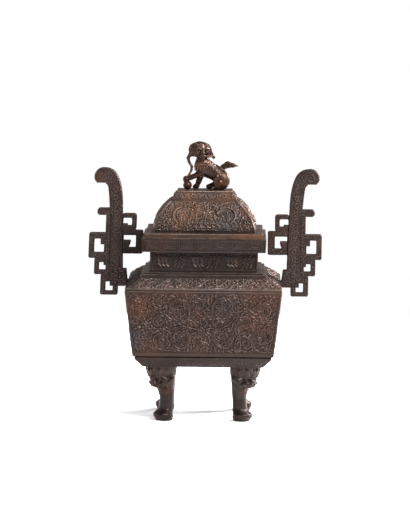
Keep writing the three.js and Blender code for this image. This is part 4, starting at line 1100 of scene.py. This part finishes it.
def lionHead(p):
    # distance to the head: mane, cut off flat below, then eyes, brows, the mane's frame, nose, lip and locks
    head = join(ball(p, (-7.4, -5.0, 59.2), (15.6, 13.6, 12.4)), p, lionMane)
    head = np.maximum(head, 49.2 - p[2])
    for s in (-1, 1):
        side = -3.8 + s * 5.4
        brow = [(-3.8 + s * 1.6, -19.2, 61.4, 1.5), (side, -18.2, 63.0, 1.7),
                (-3.8 + s * 9.6, -14.6, 61.6, 1.2)]
        frame = [(-6.5 + s * 8.0, -10.5, 68.6, 1.8), (-6.5 + s * 13.2, -11.0, 62.6, 2.3),
                 (-6.5 + s * 15.4, -9.6, 55.5, 2.4), (-6.0 + s * 17.6, -8.0, 50.6, 2.2)]
        head = np.maximum(head, -ball(p, (side, -19.4, 58.4), (3.1, 4.0, 2.6)))  # hollow of the eye
        head = join(head, p, [
            ((side, -16.6, 58.2), (1.9, 2.0, 1.8), 0.3), (brow, 1.0, 0.7), (frame, 1.2, 0.7),
            ((-6.2 + s * 18.6, -8.0, 48.8), (2.8, 2.8, 2.4), 0.6)])
    head = join(head, p, lionNose)
    for k in range(7):  # broad locks combed back over the crown
        turn = 0.25 + (math.pi - 0.5) * k / 6
        lock = [(-7.4 + r * math.cos(turn), y0, 57.5 + (r - 2.4) * math.sin(turn), w)
                for r, y0, w in ((12.4, -12.6, 1.6), (13.4, -7.0, 2.4), (13.6, 0.0, 2.4), (11.6, 6.0, 1.6))]
        head = bend(head, limb(p, lock, 1.5), 2.2)
    return head


def lionForm(x, y, z):
    # distance to the lion: trunk, legs, the ball under the paw, head, then locks, tufts, ribbon and tail
    p = (x, y, z)
    form = join(limb(p, lionBack, 4.0), p, lionLegs)
    form = np.minimum(form, ball(p, (-26.2, -4, 6.6), (6.6, 6.6, 6.6)))
    form = join(form, p, lionPaw)
    form = bend(form, lionHead(p), 0.8)
    form = bend(form, limb(p, lionBeard, 2.0), 0.8)
    for k in range(8):  # wavy locks that fan from the chin down the breast and over the shoulder
        away = k - 3.0
        knots = [(x0 + slide * away, y0 + curl * away ** 2, z0, w) for x0, slide, y0, curl, z0, w in (
            (-4.6, 1.5, -11.8, 0.22, 46.0, 1.5), (-4.8, 2.7, -13.2, 0.3, 40.5, 1.9),
            (-4.4, 3.2, -13.0, 0.3, 34.5, 1.7), (-3.6, 3.9, -12.2, 0.3, 29.5, 1.0))]
        form = bend(form, limb(p, knots, 0.8), 0.4)
    for k in range(6):  # smooth tufts that fall from the spine to both flanks
        x0, z0 = 3.5 + 3.8 * k, 45.0 - 3.0 * k - 0.1 * k * k
        for s in (-1, 1):
            tuft = [(x0 - 1.5, s * 1.0, z0 + 0.8, 2.0), (x0 + 1.6, s * 6.0, z0 - 2.8, 2.7),
                    (x0 + 3.2, s * 10.0, z0 - 9.0, 1.9), (x0 + 3.4, s * 11.2, z0 - 13.5, 1.0)]
            form = bend(form, limb(p, tuft, 1.2), 0.7)
    form = join(form, p, lionTrim)
    tail = np.maximum(limb(p, lionTail, 2.0), np.abs(y) - 3.2)
    return np.maximum(bend(form, tail, 1.0), -z)


lionPoints, lionQuads = skinField(lion["low"], lion["high"], lion["cell"], lionForm)
lionBoxLow, lionBoxHigh = (np.array(c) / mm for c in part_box("lion_finial"))
lionShade = lion["light"] * paintedShading(lionPoints, lionQuads, lionForm, lion["probe"])
lionPoints[:, 2] += lion["foot"]
lionPoints = np.clip(lionPoints, lionBoxLow, lionBoxHigh)
makePiece("lion_finial_cast", "lion_finial", metal["lion"], lionPoints, [lionQuads], lionShade, lion["sharp"])


handle = {
    "cell": 0.8, "postDepth": 17.0, "plateDepth": 13.0, "edge": 1.0, "corner": 2.8, "foot": 201.9,
    "leftLean": 2.0, "line": 0.3, "lineInset": 1.9, "lineWidth": 0.55, "relief": 0.6, "artMiddle": 134.0,
    "artFoot": 182, "sharp": 50,
}
rings = [  # x from, x to, z from, z to, of each ring, its hole and the block that stands in the hole
    {"outer": (105.1, 127, 279, 304.8), "corner": 4.6, "hole": (112, 125.2, 286.5, 298.1),
     "block": (118, 127, 286, 289.1)},
    {"outer": (94.5, 126, 244.3, 279.7), "hole": (105.2, 123.6, 253.5, 272)},
    {"outer": (146, 175.4, 237.2, 275.5), "hole": (152.5, 167.4, 245.5, 266.3),
     "block": (151, 157.9, 257.8, 267)},
    {"outer": (144, 166.2, 212.6, 238), "hole": (149.1, 159.1, 219.1, 230.9),
     "block": (148, 152.3, 226.5, 232)},
    {"outer": (129.5, 155.9, 181.8, 213), "hole": (137.2, 148.3, 187.5, 201.7),
     "block": (136, 141.9, 195.3, 203)},
]


def curveTo(a, control, b, count=8):
    # a parabola from a to b that heads for the control point
    t = np.linspace(0, 1, count)[:, None]
    return (1 - t) ** 2 * np.array(a) + 2 * t * (1 - t) * np.array(control) + t ** 2 * np.array(b)


def arcOf(x, z, radius, start, end, count=20):
    # centre + radius * (cosine, sine) of the angle, from start to end
    angle = np.linspace(start, end, count)
    return np.stack([x + radius * np.cos(angle), z + radius * np.sin(angle)], 1)


postOutline = np.concatenate([
    [(122.6, 202), (124.8, 267), (126.9, 320)], curveTo((126.9, 320), (128.2, 345), (134.6, 359))[1:],
    curveTo((134.6, 359), (141, 372.6), (155, 373.1))[1:], arcOf(157.5, 359.8, 13.4, math.pi / 2, -0.45),
    [(166.8, 350.4), (154.5, 350.3)], curveTo((154.5, 350.3), (150, 348), (149, 340))[1:],
    curveTo((149, 340), (147, 325), (146.2, 312))[1:], [(143.4, 305), (143.4, 202)]])
rootOutline = np.array([(117.8, 221.7), (115.6, 205.2), (108, 205.2), (108, 195), (131, 195), (131, 221.7)])
tongueOutline = np.array([(112.9, 264.4), (112.9, 260.5), (116, 252), (125, 252), (125, 264.4)])
seatOutline = np.array([(60, 150), (115.7, 198.9), (115.5, 203.3), (93, 218.0), (60, 218.0)])


def outlineDistance(x, z, outline):
    # distance to the nearest side of the outline, negative inside it
    nearest, inside = np.full(x.shape, 1e9), np.zeros(x.shape, bool)
    for a, b in zip(outline, np.roll(outline, -1, 0)):
        e = b - a
        t = np.clip(((x - a[0]) * e[0] + (z - a[1]) * e[1]) / (e @ e), 0, 1)
        nearest = np.minimum(nearest, np.hypot(x - a[0] - t * e[0], z - a[1] - t * e[1]))
        crosses = (a[1] > z) != (b[1] > z)
        inside ^= crosses & (x < a[0] + (z - a[1]) / (e[1] if e[1] else 1e-9) * e[0])
    return np.where(inside, -nearest, nearest)


def boxDistance(x, z, box, corner):
    # distance to a rounded rectangle: box is x from, x to, z from, z to
    qx = np.abs(x - (box[0] + box[1]) / 2) - (box[1] - box[0]) / 2 + corner
    qz = np.abs(z - (box[2] + box[3]) / 2) - (box[3] - box[2]) / 2 + corner
    return np.hypot(np.maximum(qx, 0), np.maximum(qz, 0)) + np.minimum(np.maximum(qx, qz), 0) - corner


def handlePlates(x, z):
    # distance to the plates: two bars and the rings, less the holes, and the tongue that crosses one of them
    upright = boxDistance(x, z, (142, 151, 202, 311), 0.5)
    plates = np.minimum(upright, boxDistance(x, z, (138, 164.4, 302, 312.8), 4.6))
    for ring in rings:
        plates = np.minimum(plates, boxDistance(x, z, ring["outer"], ring.get("corner", handle["corner"])))
    for ring in rings:
        opened = -boxDistance(x, z, ring["hole"], 0.5 * ring.get("corner", handle["corner"]))
        if "block" in ring:
            opened = np.minimum(opened, boxDistance(x, z, ring["block"], 0.6))
        plates = np.maximum(plates, opened)
    return np.minimum(plates, outlineDistance(x, z, tongueOutline))


def handleHalf(x, z):
    # half thickness = post or plate, whichever is thicker, less the rounding of its own edges and a fine line
    post = np.minimum(outlineDistance(x, z, postOutline), outlineDistance(x, z, rootOutline))
    plates = handlePlates(x, z)
    edge = handle["edge"]

    def rounded(distance, depth):
        # a quarter round at the rim: depth / 2 - (edge - sqrt(edge^2 - (edge - distance in)^2))
        d = np.clip(-distance, 0, edge)
        return depth / 2 - (edge - np.sqrt(np.maximum(edge ** 2 - (edge - d) ** 2, 0)))

    def engraved(distance):
        # a bell-shaped groove that runs lineInset inside the rim
        return -handle["line"] * np.exp(-(((distance + handle["lineInset"]) / handle["lineWidth"]) ** 2))

    both = np.minimum(post, plates)
    postHalf = rounded(post, handle["postDepth"]) + engraved(post)
    return np.where(post < 0, postHalf, rounded(both, handle["plateDepth"]) + engraved(plates)), both, post


handleArt = newArt(92, 200, 0.5)
for k in range(14):  # small scrolls up the post
    hand = 1 if k % 2 else -1
    curl(handleArt, -1.0 + 0.035 * k * 11.5, 10 + k * 11.5, 4.2, hand * 1.2, hand,
         turns=1.1, eye=0.25, count=18, halves=(1.15, 0.75))
curl(handleArt, 23, 177.8, 7.6, 2.6, -1, turns=1.4, eye=0.15, count=30, halves=(1.5, 0.8))  # in the hook
fillGaps(handleArt, anyWay, pitch=3.1, length=4.8, half=0.95, crest=0.9)
finishArt(handleArt, reach=4, gain=1.2, middle=0.42)


def makeHandle(name, node, mirror, lean):
    # A flat lattice of the handle's outline; vertices by the rim move onto it along the distance's slope,
    # and front and back stand half the thickness away.
    cell = handle["cell"]
    slant = math.tan(math.radians(lean))
    axisX, axisZ = np.arange(88, 178, cell), np.arange(180, 376, cell)
    x, z = np.meshgrid(axisX, axisZ, indexing="ij")

    def shape(x, z):
        # half thickness, distance to the outline less the seat, distance to the post, and x before the lean
        upright = x + slant * (z - handle["foot"])
        half, both, post = handleHalf(upright, z)
        return half, np.maximum(both, -outlineDistance(x, z, seatOutline)), post, upright

    distance = shape(x, z)[1]
    near = distance < 0.45 * cell
    cells = near[:-1, :-1] & near[1:, :-1] & near[:-1, 1:] & near[1:, 1:]
    index = np.arange(x.size).reshape(x.shape)
    cornersOf = np.stack([index[:-1, :-1], index[1:, :-1], index[1:, 1:], index[:-1, 1:]], -1)
    padded = np.pad(cells, 1)
    rim = []
    for k, (dx, dz) in enumerate(((0, -1), (1, 0), (0, 1), (-1, 0))):  # cells with no neighbour on that side
        beside = padded[1 + dx:padded.shape[0] - 1 + dx, 1 + dz:padded.shape[1] - 1 + dz]
        c = cornersOf[cells & ~beside]
        rim.append(np.stack([c[:, k], c[:, (k + 1) % 4]], 1))
    rim = np.concatenate(rim)
    onRim = np.zeros(x.size, bool)
    onRim[rim.ravel()] = True
    px, pz = x.ravel().copy(), z.ravel().copy()
    move = onRim | (np.abs(distance.ravel()) < 0.3 * cell)
    step = 0.05
    for _ in range(3):
        d = shape(px[move], pz[move])[1]
        gx = (shape(px[move] + step, pz[move])[1] - d) / step
        gz = (shape(px[move], pz[move] + step)[1] - d) / step
        size = np.maximum(np.hypot(gx, gz), 0.5)
        px[move] -= np.clip(d * gx / size ** 2, -cell, cell)
        pz[move] -= np.clip(d * gz / size ** 2, -cell, cell)
    half, both, post, upright = shape(px, pz)
    spot = (upright - handle["artMiddle"], pz - handle["artFoot"])
    inside = np.clip(-both - handle["lineInset"], 0, 1.0)
    rimHalf = np.where(post < 0, handle["postDepth"], handle["plateDepth"]) / 2 - handle["edge"]
    half = np.where(onRim, rimHalf, half + handle["relief"] * (readArt(handleArt, *spot) - 0.6) * inside)
    tone = np.where(onRim, 0.6, readArt(handleArt, *spot, "shade") * inside + 0.4 * (1 - inside))
    used = np.zeros(x.size, bool)
    used[cornersOf[cells].ravel()] = True
    number = np.cumsum(used) - 1
    count = used.sum()
    px, pz, half = px[used], pz[used], half[used]
    sign = -1 if mirror else 1
    front = np.stack([sign * px, -sign * half, pz], 1)
    back = np.stack([sign * px, sign * half, pz], 1)
    faces = number[cornersOf[cells]]
    walls = number[rim]
    band = np.stack([walls[:, 1], walls[:, 0], walls[:, 0] + count, walls[:, 1] + count], 1)
    makePiece(name, node, metal["handles"], np.concatenate([front, back]),
              [faces, faces[:, ::-1] + count, band], np.tile(tone[used], 2), handle["sharp"])


makeHandle("handle_right_cast", "handle_right", False, 0.0)
makeHandle("handle_left_cast", "handle_left", True, handle["leftLean"])


def plainMaterial(name, colour, roughness):
    # one colour and one roughness all over
    material = bpy.data.materials.new(name)
    material.use_nodes = True
    shader = material.node_tree.nodes["Principled BSDF"]
    shader.inputs["Base Color"].default_value = (*colour, 1)
    shader.inputs["Roughness"].default_value = roughness
    return material


studio = {
    "floorColour": (0.94, 0.94, 0.94), "floorRough": 0.8, "floorRadius": 1.1, "floorSides": 96,
    "worldForFloor": 0.8, "overhead": 0.08, "horizon": 0.58, "sunPower": 1.5, "sunAngle": 45,
    "sunTurn": (38, 0, 52),
}
softBoxes = {  # place and height of the target in metres, width and height, watts, colour
    "key": ((1.1, -1.3, 1.5), 0.2, (0.55, 0.55), 50, (1, 0.99, 0.97)),
    "glint": ((1.0, -1.5, 1.35), 0.2, (0.16, 0.16), 44, (1, 0.97, 0.94)),
    "fill": ((-1.4, -1.5, 0.8), 0.2, (0.7, 1.0), 8, (0.97, 0.98, 1)),
    "top": ((0.0, -0.1, 1.9), 0.3, (0.7, 0.5), 24, (1, 1, 1)),
    "edge": ((1.2, 0.5, 0.9), 0.25, (0.6, 0.6), 85, (0.96, 0.98, 1)),
    "left_edge": ((-1.3, 0.4, 0.9), 0.25, (0.6, 0.6), 10, (0.96, 0.98, 1)),
}
floorMesh = bpy.data.meshes.new("floor")
floorTurn = np.linspace(0, 2 * np.pi, studio["floorSides"], endpoint=False)
floorEdge = studio["floorRadius"] * np.stack([np.cos(floorTurn), np.sin(floorTurn), 0 * floorTurn], 1)
floorMesh.from_pydata(floorEdge.tolist(), [], [tuple(range(len(floorEdge)))])
floorMesh.materials.append(plainMaterial("floor_white", studio["floorColour"], studio["floorRough"]))
floor = inScene("floor", floorMesh)


def softBox(name, at, aim, size, power, colour):
    # a rectangular lamp that faces a point on the part's axis
    data = bpy.data.lights.new(name, "AREA")
    data.shape = "RECTANGLE"
    data.size, data.size_y = size
    data.energy = power
    data.color = colour
    lamp = inScene(name, data)
    lamp.location = at
    away = np.array(at) - np.array((0, 0, aim))
    lamp.rotation_euler = (math.acos(away[2] / np.linalg.norm(away)), 0, math.atan2(away[0], -away[1]))
    return lamp


lamps = {name: softBox(name, *values) for name, values in softBoxes.items()}
lamps["glint"].visible_diffuse = False  # it only sparkles on the crests
sunData = bpy.data.lights.new("daylight", "SUN")
sunData.energy = studio["sunPower"]
sunData.angle = math.radians(studio["sunAngle"])
inScene("daylight", sunData).rotation_euler = tuple(math.radians(a) for a in studio["sunTurn"])

# the world lights the floor evenly and is white behind it; the bronze mirrors a pale sweep near the horizon
world = bpy.data.worlds.new("studio_world")
bpy.context.scene.world = world
world.use_nodes = True
sky = world.node_tree
ray = sky.nodes.new("ShaderNodeLightPath")
background = sky.nodes["Background"]
background.inputs["Color"].default_value = (1, 1, 1, 1)


def rayShare(kind, others, level):
    # strength is level for that kind of ray and others for the rest; either may be a socket
    node = sky.nodes.new("ShaderNodeMix")
    sky.links.new(ray.outputs[kind], node.inputs[0])
    feed(sky, node.inputs[2], others)
    feed(sky, node.inputs[3], level)
    return node.outputs[0]


upward = sky.nodes.new("ShaderNodeSeparateXYZ")
sky.links.new(sky.nodes.new("ShaderNodeTexCoord").outputs["Generated"], upward.inputs[0])
halfUp = sky.nodes.new("ShaderNodeMath")
halfUp.operation = "MULTIPLY_ADD"
halfUp.inputs[1].default_value = 0.5
halfUp.inputs[2].default_value = 0.5
sky.links.new(upward.outputs["Z"], halfUp.inputs[0])
sweep = sky.nodes.new("ShaderNodeValToRGB")
stops = [(0.45, studio["overhead"]), (0.52, studio["horizon"]), (0.58, studio["horizon"]),
         (0.72, studio["overhead"])]
while len(sweep.color_ramp.elements) < len(stops):
    sweep.color_ramp.elements.new(0.5)
for stop, (position, level) in zip(sweep.color_ramp.elements, stops):
    stop.position = position
    stop.color = (level, level, level, 1)
sky.links.new(halfUp.outputs[0], sweep.inputs["Fac"])
strength = rayShare("Is Glossy Ray", studio["worldForFloor"], sweep.outputs["Color"])
sky.links.new(rayShare("Is Camera Ray", strength, 1.0), background.inputs["Strength"])
print("lit the studio")

view = {
    "distance": 3.75, "targetHeight": 0.24045, "aside": 0.00075, "pitch": 0.1158, "yaw": 0.71, "roll": 0.5,
    "lens": 175.44, "sensor": 36, "farthest": 50,
}
pitchCos = math.sqrt(1 - view["pitch"] ** 2)
yaw = math.radians(view["yaw"])
rightward = np.array([math.cos(yaw), math.sin(yaw), 0])
forward = np.array([-math.sin(yaw) * pitchCos, math.cos(yaw) * pitchCos, -view["pitch"]])
target = np.array([0, 0, view["targetHeight"]]) + rightward * view["aside"]
cameraData = bpy.data.cameras.new("camera")
cameraData.lens = view["lens"]
cameraData.sensor_width = view["sensor"]
cameraData.clip_end = view["farthest"]
camera = inScene("camera", cameraData)
camera.location = target - view["distance"] * forward
camera.rotation_mode = "XYZ"
camera.rotation_euler = (math.pi / 2 - math.asin(view["pitch"]), 0, yaw)
camera.rotation_euler.rotate_axis("Z", math.radians(view["roll"]))
bpy.context.scene.camera = camera
bpy.context.scene.view_settings.view_transform = "Standard"
